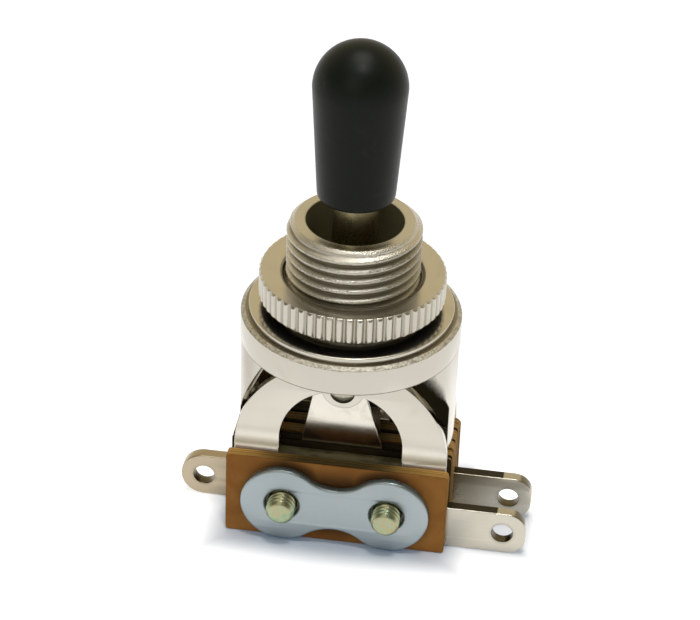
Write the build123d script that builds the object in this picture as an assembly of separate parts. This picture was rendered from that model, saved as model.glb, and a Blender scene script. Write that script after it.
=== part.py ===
"""Three-way toggle selector switch, built piece by piece.

Row frame: Z runs up along the bushing and the lever, X along the solder
terminals, and -Y is the side where the clamp screw ends stand out. The origin
lies on the bushing axis at the top face of the housing. Sizes are millimetres.
"""
import os
from math import cos, hypot, pi, sin

from build123d import *

# ---------------------------------------------------------------- clearances
RUN = 0.05        # running fit of a turning piece on its pin, on the radius
SEAT = 0.02       # pressed and stacked pieces, on the radius
FREE = 0.10       # loose pieces beside each other

# ------------------------------------------------------------------- housing
CUP_R = 9.9               # drawn cup, outside
CUP_WALL = 1.0
CUP_TOP = 1.2             # thickness of the top plate
CUP_BAND = 2.75           # height of the closed band round the top
CUP_BEVEL = (0.38, 0.25)  # bevel of the top edge, across and down
SKIRT_TOP = 6.1           # half width of a side skirt where it leaves the band
SKIRT_MID = 4.0           # half width part of the way down its curved flank
SKIRT_LOW = 2.35          # half width of its straight lower end
FLARE = 0.5               # countersink that the bushing is swaged into

# ------------------------------------------------------------ threaded bushing
THREAD_R = 6.0
BUSHING_TOP = 8.87
BUSHING_CHAMFER = (0.75, 0.6)   # across and down
BUSHING_BORE = 3.75
MOUTH_R = 4.4                   # shallow dish round the mouth
MOUTH_DEPTH = 0.12

# ------------------------------------------------------------ washer and nut
WASHER_R = CUP_R - 0.7
WASHER_T = 0.6
WASHER_BORE = THREAD_R + 0.25
NUT_Z = 1.5               # lower face, screwed up a little off the washer
NUT_H = 2.5
NUT_R = THREAD_R + 2.35
NUT_TEETH = 58
TOOTH_H = 0.27
NUT_CHAMFER = 0.18
NUT_LEAD_IN = 0.4         # chamfer of the threaded hole

# ------------------------------------------------------------------- lever
PIVOT_Z = 0.9
PIVOT_R = 0.75
BALL_R = 2.8
SHAFT_R = 2.02
SHAFT_TOP = 20.0
STEM_R = 1.45
ROLLER_Z = -8.2
ROLLER_R = 1.25
ROLLER_W = 3.9
AXLE_R = 0.5
CHEEK_T = 0.7
CHEEK_R = 0.85            # half thickness of the fork along Y
YOKE_Z = (-6.2, -5.2)     # lower and upper face of the bridge of the fork

# ------------------------------------------------------------------ tip cap
CAP_BOTTOM = 11.95
CAP_SHOULDER = 22.35
CAP_R_BOTTOM = 3.45
CAP_R_TOP = 4.15
CAP_EDGE = 0.35

# -------------------------------------------------------------- leaf stack
STACK_TOP = -13.04
STACK_BOTTOM = -21.5
STACK_HALF = CUP_R + 0.2  # half width of the insulators
STACK_CORNER = 0.4
SCREW_X = 4.8
SCREW_Z = -17.5
TUBE_BORE = 1.35
TUBE_R = 1.95
EYELET_R = 2.45
HOLE = TUBE_R + RUN       # hole for an insulating tube
LINK_HOLE = EYELET_R + RUN
LEG_T = 0.9
REAR_DROP = 1.5           # the rear facing sheet is this much lower than the rest
LEG_GAP = 6.54            # between the inner faces of the two legs
BLADE_T = 0.35
INNER_BLADE_T = 0.3
FACING_T = 1.15           # insulator under the front plate
LUG_FRONT_T = 1.05
FILM_T = 0.22             # insulator between the front leg and its blade
CONTACT_FRONT_T = 0.85    # insulators beside the inner blades
CONTACT_REAR_T = 0.35
LUG_COMMON_T = 1.15
LUG_REAR_T = 1.1
BACKING_T = 1.03          # insulator under the rear plate

# --------------------------------------------------------------- leg bracket
LEG_R = CUP_R - 0.16      # round shoulders of the legs
LEG_CENTRE = STACK_TOP - 0.2
LEG_BOTTOM = STACK_BOTTOM + 0.2
NECK_HALF = 3.9
WEB_R = CUP_R - CUP_WALL - 0.3
WINDOW_R = 5.6
WINDOW_CENTRE = -12.1
WINDOW_BOTTOM = -13.9
EAR_R = 1.95
EAR_Z = -6.2
STUD_R = 0.8
STUD_HEAD_R = 1.15
STUD_DOME = 0.5
STUD_Z = -6.5
RIVET_R = 0.7
RIVET_X = WEB_R - RIVET_R - 0.1
RIVET_HEAD = (0.3, 0.4)   # overhang and height of a rivet's head

# -------------------------------------------------------------------- blades
OUTER_FACE = 2.7          # inner faces of the long blades, from the lever axis
OUTER_TOP = -7.2
OUTER_HALF = (3.75, 2.33)    # half width at the stack and at the tip
INNER_FACE = 1.7
INNER_TOP = -10.15
INNER_HALF = (3.2, 1.9)
BEND_Z = (-12.85, -11.95)    # where a blade steps sideways above the stack
CONTACT_Z = -11.0
CONTACT_R = 0.8
ROOT_HALF = 7.2
ROOT_Z = (-20.6, -14.2)

# ----------------------------------------------------------------- terminals
LUG_H = 4.3
LUG_BOTTOM = STACK_BOTTOM + 0.05
LUG_HOLE_R = 0.97
LUG_RIGHT_X = STACK_HALF + 5.15   # hole of the right-hand lugs
LUG_LEFT_X = -(STACK_HALF + 2.9)
LUG_ROOT = (1.4, -20.9, -14.3)   # inner end, lower and upper edge of the root

# ---------------------------------------------------------- screws and plates
SCREW_R = 1.3
SCREW_END = 1.3           # stands out of the front plate
SCREW_TIP = 0.35
HEAD_R = 2.35
HEAD_H = 1.4
HEAD_EDGE = 0.55
RECESS = (2.6, 0.55, 0.7)     # length, width and depth of the cross recess
PLATE_LEAD_IN = 0.25
PLATE_T = 0.83
LOBE_R = 3.85
WAIST_HALF = 2.2


def layer_faces():
    """Front face (lowest Y) and thickness of every layer of the stack."""
    front = -LEG_GAP / 2 - LEG_T
    faces = {}

    def run(start, layers):
        for name, thick in layers:
            faces[name] = (start, thick)
            start += thick
        return start

    run(front - LUG_FRONT_T - FACING_T - PLATE_T, [
        ("clamp_plate_front", PLATE_T), ("insulator_front_outer", FACING_T),
        ("insulator_front_inner", LUG_FRONT_T), ("leg_front", LEG_T),
        ("insulator_leg_front", FILM_T), ("blade_outer_front", BLADE_T),
        ("insulator_contact_front", CONTACT_FRONT_T),
        ("blade_inner_front", INNER_BLADE_T), ("terminal_common", LUG_COMMON_T),
        ("blade_inner_rear", INNER_BLADE_T), ("insulator_contact_rear", CONTACT_REAR_T),
        ("terminal_rear", LUG_REAR_T)])
    rear = faces["terminal_rear"][0] + faces["terminal_rear"][1]
    rest = LEG_GAP / 2 - rear - BLADE_T
    run(rear, [
        ("blade_outer_rear", BLADE_T), ("insulator_leg_rear", rest / 2),
        ("insulator_leg_rear_2", rest / 2), ("leg_rear", LEG_T),
        ("insulator_rear_outer", BACKING_T), ("clamp_plate_rear", PLATE_T)])
    faces["terminal_front"] = faces["insulator_front_inner"]
    return faces


LAYER = layer_faces()


# ------------------------------------------------------------------- helpers
def slab(outline, front, thick):
    """Outline in X and Z, given thickness from its front face toward +Y."""
    return extrude(Plane.XZ.offset(-(front + thick)) * outline, thick)


def spot(x, z):
    return Pos(x, z)


def disc_y(x, z, r, front, thick):
    return slab(spot(x, z) * Circle(r), front, thick)


def turned(points):
    """A turned piece from (radius, height) points, about Z."""
    wire = Polyline([(r, 0, z) for r, z in points], close=True)
    return revolve(make_face(wire), Axis.Z)


def cylinder_x(z, r, half):
    return Pos(0, 0, z) * Rot(0, 90, 0) * Cylinder(r, 2 * half)


def span(x0, x1, z0, z1):
    """Rectangle from x0 to x1 and z0 to z1."""
    return spot((x0 + x1) / 2, (z0 + z1) / 2) * Rectangle(abs(x1 - x0), z1 - z0)


def sheet_outline(top=STACK_TOP):
    plate = span(-STACK_HALF, STACK_HALF, STACK_BOTTOM, top)
    return fillet(plate.vertices(), STACK_CORNER)


def drilled(outline, left=HOLE, right=HOLE):
    """Outline with the two screw positions drilled."""
    for x, r in ((-SCREW_X, left), (SCREW_X, right)):
        outline -= spot(x, SCREW_Z) * Circle(r)
    return outline


def thick_line(points, t):
    """A bent strip of thickness t along (y, z) points, as a face in YZ."""
    sides = ([], [])
    for i, (y, z) in enumerate(points):
        normal = [0.0, 0.0]
        near = []
        for a, b in ((i - 1, i), (i, i + 1)):
            if a >= 0 and b < len(points):
                dy, dz = points[b][0] - points[a][0], points[b][1] - points[a][1]
                length = hypot(dy, dz)
                near.append((dz / length, -dy / length))
        for n in near:
            normal = [normal[0] + n[0] / len(near), normal[1] + n[1] / len(near)]
        scale = t / 2 / (normal[0] ** 2 + normal[1] ** 2)
        for side, sign in zip(sides, (1, -1)):
            side.append((y + sign * scale * normal[0], z + sign * scale * normal[1]))
    return make_face(Plane.YZ * Polyline(sides[0] + sides[1][::-1], close=True))


# ------------------------------------------------------- housing and bushing
def housing_cup():
    low = STACK_TOP + SEAT
    bevel_x, bevel_z = CUP_BEVEL
    bore = THREAD_R + SEAT
    cup = turned([
        (bore, 0), (CUP_R - bevel_x, 0), (CUP_R, -bevel_z), (CUP_R, low),
        (CUP_R - CUP_WALL, low), (CUP_R - CUP_WALL, -CUP_TOP),
        (bore + FLARE, -CUP_TOP), (bore, -CUP_TOP + FLARE)])
    flank_end = -CUP_BAND - 0.68 * (-CUP_BAND - low)
    flank_mid = -CUP_BAND + 0.45 * (flank_end + CUP_BAND)
    edge = []
    for side in (1, -1):
        edge += [
            ThreePointArc((side * SKIRT_TOP, -CUP_BAND), (side * SKIRT_MID, flank_mid),
                          (side * SKIRT_LOW, flank_end)),
            Line((side * SKIRT_LOW, flank_end), (side * SKIRT_LOW, low - 1))]
    edge += [Line((-SKIRT_TOP, -CUP_BAND), (SKIRT_TOP, -CUP_BAND)),
             Line((-SKIRT_LOW, low - 1), (SKIRT_LOW, low - 1))]
    skirts = extrude(Plane.YZ * make_face(edge), CUP_R + 1, both=True)
    depth = -CUP_BAND - low
    below = Pos(0, 0, -CUP_BAND - depth) * Cylinder(CUP_R + 1, 2 * depth)
    cup -= below - skirts
    for x in (-RIVET_X, RIVET_X):
        cup -= Pos(x, 0, 0) * Cylinder(RIVET_R + SEAT, 4 * CUP_TOP)
    return cup


def bushing():
    across, down = BUSHING_CHAMFER
    body = turned([
        (BUSHING_BORE, -CUP_TOP), (THREAD_R + FLARE, -CUP_TOP), (THREAD_R, -CUP_TOP + FLARE),
        (THREAD_R, BUSHING_TOP - down), (THREAD_R - across, BUSHING_TOP),
        (MOUTH_R, BUSHING_TOP), (BUSHING_BORE, BUSHING_TOP - MOUTH_DEPTH)])
    return body - cylinder_x(PIVOT_Z, PIVOT_R + SEAT, THREAD_R + 1)


def flat_washer():
    edge = WASHER_T / 4
    return turned([
        (WASHER_BORE, 0), (WASHER_R - edge, 0), (WASHER_R, edge), (WASHER_R, WASHER_T - edge),
        (WASHER_R - edge, WASHER_T), (WASHER_BORE, WASHER_T)])


def knurled_nut():
    pitch = 2 * pi / NUT_TEETH
    rim = []
    for tooth in range(NUT_TEETH):
        for share, r in ((0.0, NUT_R - TOOTH_H), (0.22, NUT_R), (0.70, NUT_R), (0.92, NUT_R - TOOTH_H)):
            angle = (tooth + share) * pitch
            rim.append((r * cos(angle), r * sin(angle)))
    blank = extrude(Pos(0, 0, NUT_Z) * make_face(Polyline(rim, close=True)), NUT_H)
    bore, top = THREAD_R + RUN, NUT_Z + NUT_H
    envelope = turned([
        (bore + NUT_LEAD_IN, NUT_Z), (NUT_R - NUT_CHAMFER, NUT_Z), (NUT_R, NUT_Z + NUT_CHAMFER),
        (NUT_R, top - NUT_CHAMFER), (NUT_R - NUT_CHAMFER, top), (bore + NUT_LEAD_IN, top),
        (bore, top - NUT_LEAD_IN), (bore, NUT_Z + NUT_LEAD_IN)])
    return blank & envelope


# ------------------------------------------------------------------- lever
def lever_shaft():
    cheek_out = ROLLER_W / 2 + FREE + CHEEK_T
    shaft = Pos(0, 0, PIVOT_Z) * Sphere(BALL_R)
    shaft += Pos(0, 0, (PIVOT_Z + SHAFT_TOP) / 2) * Cylinder(SHAFT_R, SHAFT_TOP - PIVOT_Z)
    shaft += Pos(0, 0, (PIVOT_Z + YOKE_Z[0]) / 2) * Cylinder(STEM_R, PIVOT_Z - YOKE_Z[0])
    fork = Pos(0, (YOKE_Z[1] + ROLLER_Z) / 2) * Rectangle(2 * CHEEK_R, YOKE_Z[1] - ROLLER_Z)
    fork += Pos(0, ROLLER_Z) * Circle(CHEEK_R)
    fork = extrude(Plane.YZ * fork, cheek_out, both=True)
    slot_top, slot_low = YOKE_Z[0], ROLLER_Z - 2 * CHEEK_R
    fork -= Pos(0, 0, (slot_top + slot_low) / 2) * Box(
        ROLLER_W + 2 * FREE, 4 * CHEEK_R, slot_top - slot_low)
    shaft += fork
    shaft -= cylinder_x(PIVOT_Z, PIVOT_R + RUN, BALL_R + 1)
    return shaft - cylinder_x(ROLLER_Z, AXLE_R + SEAT, cheek_out + 1)


def pivot_pin():
    return cylinder_x(PIVOT_Z, PIVOT_R, THREAD_R - 0.15)


def roller_axle():
    return cylinder_x(ROLLER_Z, AXLE_R, ROLLER_W / 2 + FREE + CHEEK_T)


def roller():
    return (cylinder_x(ROLLER_Z, ROLLER_R, ROLLER_W / 2)
            - cylinder_x(ROLLER_Z, AXLE_R + RUN, ROLLER_W))


def tip_cap():
    """Tapered cap with a round crown, hollow where it sits on the shaft."""
    half = make_face([
        Line((0, 0, CAP_BOTTOM), (CAP_R_BOTTOM - CAP_EDGE, 0, CAP_BOTTOM)),
        Line((CAP_R_BOTTOM - CAP_EDGE, 0, CAP_BOTTOM), (CAP_R_BOTTOM, 0, CAP_BOTTOM + CAP_EDGE)),
        Line((CAP_R_BOTTOM, 0, CAP_BOTTOM + CAP_EDGE), (CAP_R_TOP, 0, CAP_SHOULDER)),
        ThreePointArc((CAP_R_TOP, 0, CAP_SHOULDER),
                      (CAP_R_TOP * sin(pi / 4), 0, CAP_SHOULDER + CAP_R_TOP * cos(pi / 4)),
                      (0, 0, CAP_SHOULDER + CAP_R_TOP)),
        Line((0, 0, CAP_SHOULDER + CAP_R_TOP), (0, 0, CAP_BOTTOM))])
    depth = SHAFT_TOP + FREE - CAP_BOTTOM
    return revolve(half, Axis.Z) - Pos(0, 0, CAP_BOTTOM + depth / 2 - 1) * Cylinder(
        SHAFT_R + SEAT, depth + 2)


# ------------------------------------------------------------- leg bracket
def leg_outline():
    leg = spot(0, LEG_CENTRE) * Circle(LEG_R) & span(-LEG_R, LEG_R, LEG_CENTRE, LEG_CENTRE + LEG_R)
    leg += span(-LEG_R, LEG_R, LEG_BOTTOM, LEG_CENTRE)
    leg += span(-NECK_HALF, NECK_HALF, LEG_CENTRE, -CUP_TOP)
    window = spot(0, WINDOW_CENTRE) * Circle(WINDOW_R)
    window &= span(-WINDOW_R, WINDOW_R, WINDOW_CENTRE, WINDOW_CENTRE + WINDOW_R)
    window += span(-WINDOW_R, WINDOW_R, WINDOW_BOTTOM, WINDOW_CENTRE)
    window -= spot(0, EAR_Z) * Circle(EAR_R)
    leg -= window
    return leg - spot(0, STUD_Z) * Circle(STUD_R + SEAT)


def leg_bracket():
    """Web under the cup with two arched legs bent down from it."""
    outer = LEG_GAP / 2 + LEG_T
    web = Circle(WEB_R) & Rectangle(2 * WEB_R, 2 * outer)
    web -= Circle(LEG_GAP / 2 - 2 * FREE)
    bracket = extrude(Pos(0, 0, -CUP_TOP - LEG_T) * web, LEG_T)
    for x in (-RIVET_X, RIVET_X):
        bracket -= Pos(x, 0, -CUP_TOP) * Cylinder(RIVET_R + SEAT, 4 * LEG_T)
    clear = EYELET_R + 0.6
    for name, right in (("leg_front", clear), ("leg_rear", HOLE)):
        bracket += slab(drilled(leg_outline(), HOLE, right), *LAYER[name])
    return bracket


def bracket_rivet(x):
    """Countersunk flush in the cup and headed under the web."""
    depth = CUP_TOP + LEG_T
    shank = Pos(x, 0, -depth / 2) * Cylinder(RIVET_R, depth)
    overhang, height = RIVET_HEAD
    head = Pos(x, 0, -depth - height / 2) * Cylinder(RIVET_R + overhang, height)
    return shank + head


def stop_stud(side):
    """Stud set in a leg's ear, its round head on the outside."""
    inner, outer = LEG_GAP / 2, LEG_GAP / 2 + LEG_T
    ball = (STUD_HEAD_R ** 2 + STUD_DOME ** 2) / (2 * STUD_DOME)
    half = make_face([
        Line((0, inner), (STUD_R, inner)), Line((STUD_R, inner), (STUD_R, outer)),
        Line((STUD_R, outer), (STUD_HEAD_R, outer)),
        ThreePointArc((STUD_HEAD_R, outer),
                      (STUD_HEAD_R * 0.55, outer + (ball ** 2 - (STUD_HEAD_R * 0.55) ** 2) ** 0.5
                       - ball + STUD_DOME),
                      (0, outer + STUD_DOME)),
        Line((0, outer + STUD_DOME), (0, inner))])
    stud = Pos(0, 0, STUD_Z) * revolve(half, Axis.Y)
    return stud if side > 0 else mirror(stud, Plane.XZ)


# --------------------------------------------------------------- leaf stack
def insulator(name, left=HOLE, right=HOLE, top=STACK_TOP):
    return slab(drilled(sheet_outline(top), left, right), *LAYER[name])


def terminal_outline(side, hole_x):
    """Root clamped round one screw and a lug with a round end outside."""
    inner, low, high = LUG_ROOT
    root = fillet(span(side * inner, side * (STACK_HALF - 0.5), low, high).vertices(), 0.6)
    centre = LUG_BOTTOM + LUG_H / 2
    lug = span(side * (inner + 1), hole_x, LUG_BOTTOM, LUG_BOTTOM + LUG_H)
    lug += spot(hole_x, centre) * Circle(LUG_H / 2)
    return root + lug - spot(hole_x, centre) * Circle(LUG_HOLE_R)


def terminal(name, side, hole_x, screw_hole=HOLE):
    outline = terminal_outline(side, hole_x) - spot(side * SCREW_X, SCREW_Z) * Circle(screw_hole)
    return slab(outline, *LAYER[name])


def spacer(layer, side, hole_x):
    """Insulator that fills a terminal's layer, cut out round the terminal."""
    outline = drilled(sheet_outline())
    cut = offset(terminal_outline(side, hole_x), FREE)
    cut += spot(hole_x, LUG_BOTTOM + LUG_H / 2) * Circle(LUG_HOLE_R + 2 * FREE)
    plate = slab(outline - cut, *LAYER[layer])
    return max(plate.solids(), key=lambda piece: piece.volume)


def blade(name, face, top, half, thick, left=HOLE, right=HOLE, contact=0):
    """Leaf spring: flat root in the stack, a step above it, a tapered tongue."""
    front, _ = LAYER[name]
    root = front + thick / 2
    free = face + thick / 2 if face > 0 else face - thick / 2
    path = [(root, ROOT_Z[0]), (root, BEND_Z[0]), (free, BEND_Z[1]), (free, top)]
    strip = extrude(thick_line(path, thick), ROOT_HALF, both=True)
    wide, tip = half
    shape = drilled(span(-ROOT_HALF, ROOT_HALF, *ROOT_Z), left, right)
    tongue = make_face(Polyline([
        (-wide, ROOT_Z[1] - 1), (wide, ROOT_Z[1] - 1), (wide, STACK_TOP), (tip, top),
        (-tip, top), (-wide, STACK_TOP)], close=True))
    shape += tongue
    return strip & slab(shape, -LEG_GAP, 2 * LEG_GAP)


def contact(face, toward):
    """Silver rivet head on a blade face, reaching half way to its partner."""
    reach = (OUTER_FACE - INNER_FACE - INNER_BLADE_T) / 2
    front = min(face, face + toward * reach)
    return disc_y(0, CONTACT_Z, CONTACT_R, front, reach)


def plate_outline(hole):
    """Two round lobes joined by a waist with tangent hollow flanks."""
    hollow = (SCREW_X ** 2 + WAIST_HALF ** 2 - LOBE_R ** 2) / (2 * (LOBE_R - WAIST_HALF))
    height = WAIST_HALF + hollow
    share = 1 / (LOBE_R + hollow)
    tangent_x, tangent_z = SCREW_X * hollow * share, height * LOBE_R * share
    shape = span(-tangent_x, tangent_x, SCREW_Z - tangent_z, SCREW_Z + tangent_z)
    for side in (-1, 1):
        shape -= spot(0, SCREW_Z + side * height) * Circle(hollow)
    for side in (-1, 1):
        shape += spot(side * SCREW_X, SCREW_Z) * Circle(LOBE_R)
    return drilled(shape, hole, hole)


def clamp_plate(name, hole, lead_in):
    front, thick = LAYER[name]
    plate = slab(plate_outline(hole), front, thick)
    for x in (-SCREW_X, SCREW_X):
        cone = Cone(hole, hole + lead_in, lead_in)
        plate -= Pos(x, front + lead_in / 2, SCREW_Z) * Rot(90, 0, 0) * cone
    return plate


def stack_ends():
    front = LAYER["insulator_front_outer"][0]
    rear, thick = LAYER["insulator_rear_outer"]
    return front, rear + thick


def screw(x):
    """Pan head at the rear with a cross recess, plain end at the front."""
    start = LAYER["clamp_plate_front"][0] - SCREW_END
    seat = sum(LAYER["clamp_plate_rear"])
    length = seat + HEAD_H - start
    half = make_face(Polyline([
        (0, 0), (SCREW_R - SCREW_TIP, 0), (SCREW_R, SCREW_TIP), (SCREW_R, seat - start),
        (HEAD_R, seat - start), (HEAD_R, length - HEAD_EDGE), (HEAD_R - HEAD_EDGE, length),
        (0, length)], close=True))
    body = Pos(x, start, SCREW_Z) * revolve(half, Axis.Y)
    long, wide, deep = RECESS
    for size_x, size_z in ((long, wide), (wide, long)):
        body -= Pos(x, seat + HEAD_H, SCREW_Z) * Box(size_x, 2 * deep, size_z)
    return body


def tube(x):
    front, rear = stack_ends()
    ring = spot(x, SCREW_Z) * (Circle(TUBE_R) - Circle(TUBE_BORE))
    return slab(ring, front, rear - front)


def link_eyelet():
    """Joins the front terminal to its blade through the leg's wide hole."""
    front = LAYER["terminal_front"][0]
    rear = sum(LAYER["blade_outer_front"])
    ring = spot(SCREW_X, SCREW_Z) * (Circle(EYELET_R) - Circle(HOLE))
    return slab(ring, front, rear - front)


def pieces():
    inner = dict(top=INNER_TOP, half=INNER_HALF, thick=INNER_BLADE_T)
    outer = dict(top=OUTER_TOP, half=OUTER_HALF, thick=BLADE_T)
    inner_back = INNER_FACE + INNER_BLADE_T
    parts = {
        "housing_cup": housing_cup(),
        "leg_bracket": leg_bracket(),
        "bushing": bushing(),
        "flat_washer": flat_washer(),
        "knurled_nut": knurled_nut(),
        "pivot_pin": pivot_pin(),
        "lever_shaft": lever_shaft(),
        "tip_cap": tip_cap(),
        "roller_axle": roller_axle(),
        "roller": roller(),
        "clamp_plate_front": clamp_plate("clamp_plate_front", SCREW_R + SEAT, PLATE_LEAD_IN),
        "insulator_front_outer": insulator("insulator_front_outer"),
        "insulator_front_inner": spacer("insulator_front_inner", 1, LUG_RIGHT_X),
        "terminal_front": terminal("terminal_front", 1, LUG_RIGHT_X, LINK_HOLE),
        "insulator_leg_front": insulator("insulator_leg_front", right=LINK_HOLE),
        "blade_outer_front": blade("blade_outer_front", -OUTER_FACE, right=LINK_HOLE, **outer),
        "insulator_contact_front": insulator("insulator_contact_front"),
        "blade_inner_front": blade("blade_inner_front", -INNER_FACE, **inner),
        "terminal_common": terminal("terminal_common", -1, LUG_LEFT_X),
        "spacer_common": spacer("terminal_common", -1, LUG_LEFT_X),
        "blade_inner_rear": blade("blade_inner_rear", INNER_FACE, **inner),
        "insulator_contact_rear": insulator("insulator_contact_rear"),
        "terminal_rear": terminal("terminal_rear", 1, LUG_RIGHT_X),
        "spacer_rear": spacer("terminal_rear", 1, LUG_RIGHT_X),
        "blade_outer_rear": blade("blade_outer_rear", OUTER_FACE, **outer),
        "insulator_leg_rear": insulator("insulator_leg_rear"),
        "insulator_leg_rear_2": insulator("insulator_leg_rear_2"),
        "insulator_rear_outer": insulator("insulator_rear_outer", top=STACK_TOP - REAR_DROP),
        "clamp_plate_rear": clamp_plate("clamp_plate_rear", SCREW_R + FREE, FREE),
        "contact_outer_front": contact(-OUTER_FACE, 1),
        "contact_inner_front": contact(-inner_back, -1),
        "contact_inner_rear": contact(inner_back, 1),
        "contact_outer_rear": contact(OUTER_FACE, -1),
        "link_eyelet": link_eyelet(),
        "stop_stud_front": stop_stud(-1),
        "stop_stud_rear": stop_stud(1),
    }
    for side, x in (("left", -1), ("right", 1)):
        parts[f"bracket_rivet_{side}"] = bracket_rivet(x * RIVET_X)
        parts[f"screw_{side}"] = screw(x * SCREW_X)
        parts[f"insulating_tube_{side}"] = tube(x * SCREW_X)
    return parts


os.makedirs("parts", exist_ok=True)
for node, solid in pieces().items():
    export_step(solid, f"parts/{node}.step")
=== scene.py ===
"""Visual model of a guitar pickup selector switch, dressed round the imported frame.

Each sub-assembly is a class that takes its places from the frame's nodes, builds
finer meshes for them in millimetres and gives every piece its finish.
"""
import logging
import math
from dataclasses import dataclass, field
from enum import Enum
from typing import Callable, Sequence

import bmesh
import bpy
import numpy as np
from mathutils import Matrix, Vector


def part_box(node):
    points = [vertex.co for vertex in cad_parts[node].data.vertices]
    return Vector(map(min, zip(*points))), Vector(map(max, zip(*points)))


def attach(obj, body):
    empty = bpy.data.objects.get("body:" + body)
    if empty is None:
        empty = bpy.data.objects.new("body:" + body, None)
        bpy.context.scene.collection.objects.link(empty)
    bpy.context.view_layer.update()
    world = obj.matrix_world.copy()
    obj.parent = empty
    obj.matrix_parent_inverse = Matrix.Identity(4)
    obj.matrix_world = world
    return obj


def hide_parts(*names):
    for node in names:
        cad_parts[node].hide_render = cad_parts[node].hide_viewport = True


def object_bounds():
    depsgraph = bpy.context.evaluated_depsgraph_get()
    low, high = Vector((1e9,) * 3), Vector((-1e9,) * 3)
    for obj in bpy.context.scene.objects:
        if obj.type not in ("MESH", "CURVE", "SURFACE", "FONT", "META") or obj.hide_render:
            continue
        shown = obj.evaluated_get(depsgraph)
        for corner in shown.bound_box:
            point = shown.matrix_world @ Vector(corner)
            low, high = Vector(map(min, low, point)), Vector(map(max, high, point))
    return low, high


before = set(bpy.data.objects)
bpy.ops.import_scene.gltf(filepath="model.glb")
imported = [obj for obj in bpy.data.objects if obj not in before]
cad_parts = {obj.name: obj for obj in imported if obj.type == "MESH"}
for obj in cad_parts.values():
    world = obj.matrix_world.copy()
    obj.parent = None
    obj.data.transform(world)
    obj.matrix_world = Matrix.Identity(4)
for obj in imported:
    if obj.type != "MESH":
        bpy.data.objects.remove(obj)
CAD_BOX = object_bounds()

log = logging.getLogger("selector_switch")

MM = 0.001
SCREW_X = 4.8       # the two clamp screws stand this far off the middle
SCREW_Z = -17.5
LOBE_R = 3.85       # lobes of the clamp plates
Point = tuple[float, float]
Colour = tuple[float, float, float]


class Facing(Enum):
    """Which way the flat side of a sheet piece looks."""

    FRONT = "front"   # sheet in X and Z, thickness along Y
    UP = "up"         # sheet in X and Y, thickness along Z


class Body(Enum):
    """The moving bodies of the frame."""

    SWITCH = "switch_body"
    NUT = "nut"
    LEVER = "lever"
    ROLLER = "roller"


# ------------------------------------------------------------------ shader maths
class Value:
    """A number that varies over a surface, with arithmetic as Math nodes."""

    def __init__(self, tree: "Tree", socket: bpy.types.NodeSocket) -> None:
        """Wraps an output socket of the tree."""
        self.tree = tree
        self.socket = socket

    def _math(self, operation: str, first: object, second: object = 0.0) -> "Value":
        """Adds one Math node and returns its result."""
        node = self.tree.add("ShaderNodeMath", {"operation": operation}, {0: first, 1: second})
        return Value(self.tree, node.outputs[0])

    def __add__(self, other: object) -> "Value":
        """self + other."""
        return self._math("ADD", self, other)

    __radd__ = __add__

    def __sub__(self, other: object) -> "Value":
        """self - other."""
        return self._math("SUBTRACT", self, other)

    def __rsub__(self, other: object) -> "Value":
        """other - self."""
        return self._math("SUBTRACT", other, self)

    def __mul__(self, other: object) -> "Value":
        """self * other."""
        return self._math("MULTIPLY", self, other)

    __rmul__ = __mul__

    def __truediv__(self, other: object) -> "Value":
        """self / other."""
        return self._math("DIVIDE", self, other)

    def __pow__(self, other: object) -> "Value":
        """self ** other."""
        return self._math("POWER", self, other)

    def __abs__(self) -> "Value":
        """The size of the number without its sign."""
        return self._math("ABSOLUTE", self)

    def max(self, other: object) -> "Value":
        """The larger of the two."""
        return self._math("MAXIMUM", self, other)

    def rise(self, low: float, high: float) -> "Value":
        """Goes smoothly from 0 at low to 1 at high; low may be the larger number."""
        node = self.tree.add(
            "ShaderNodeMapRange", {"interpolation_type": "SMOOTHSTEP"},
            {"Value": self, "From Min": low, "From Max": high})
        return Value(self.tree, node.outputs["Result"])


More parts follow.
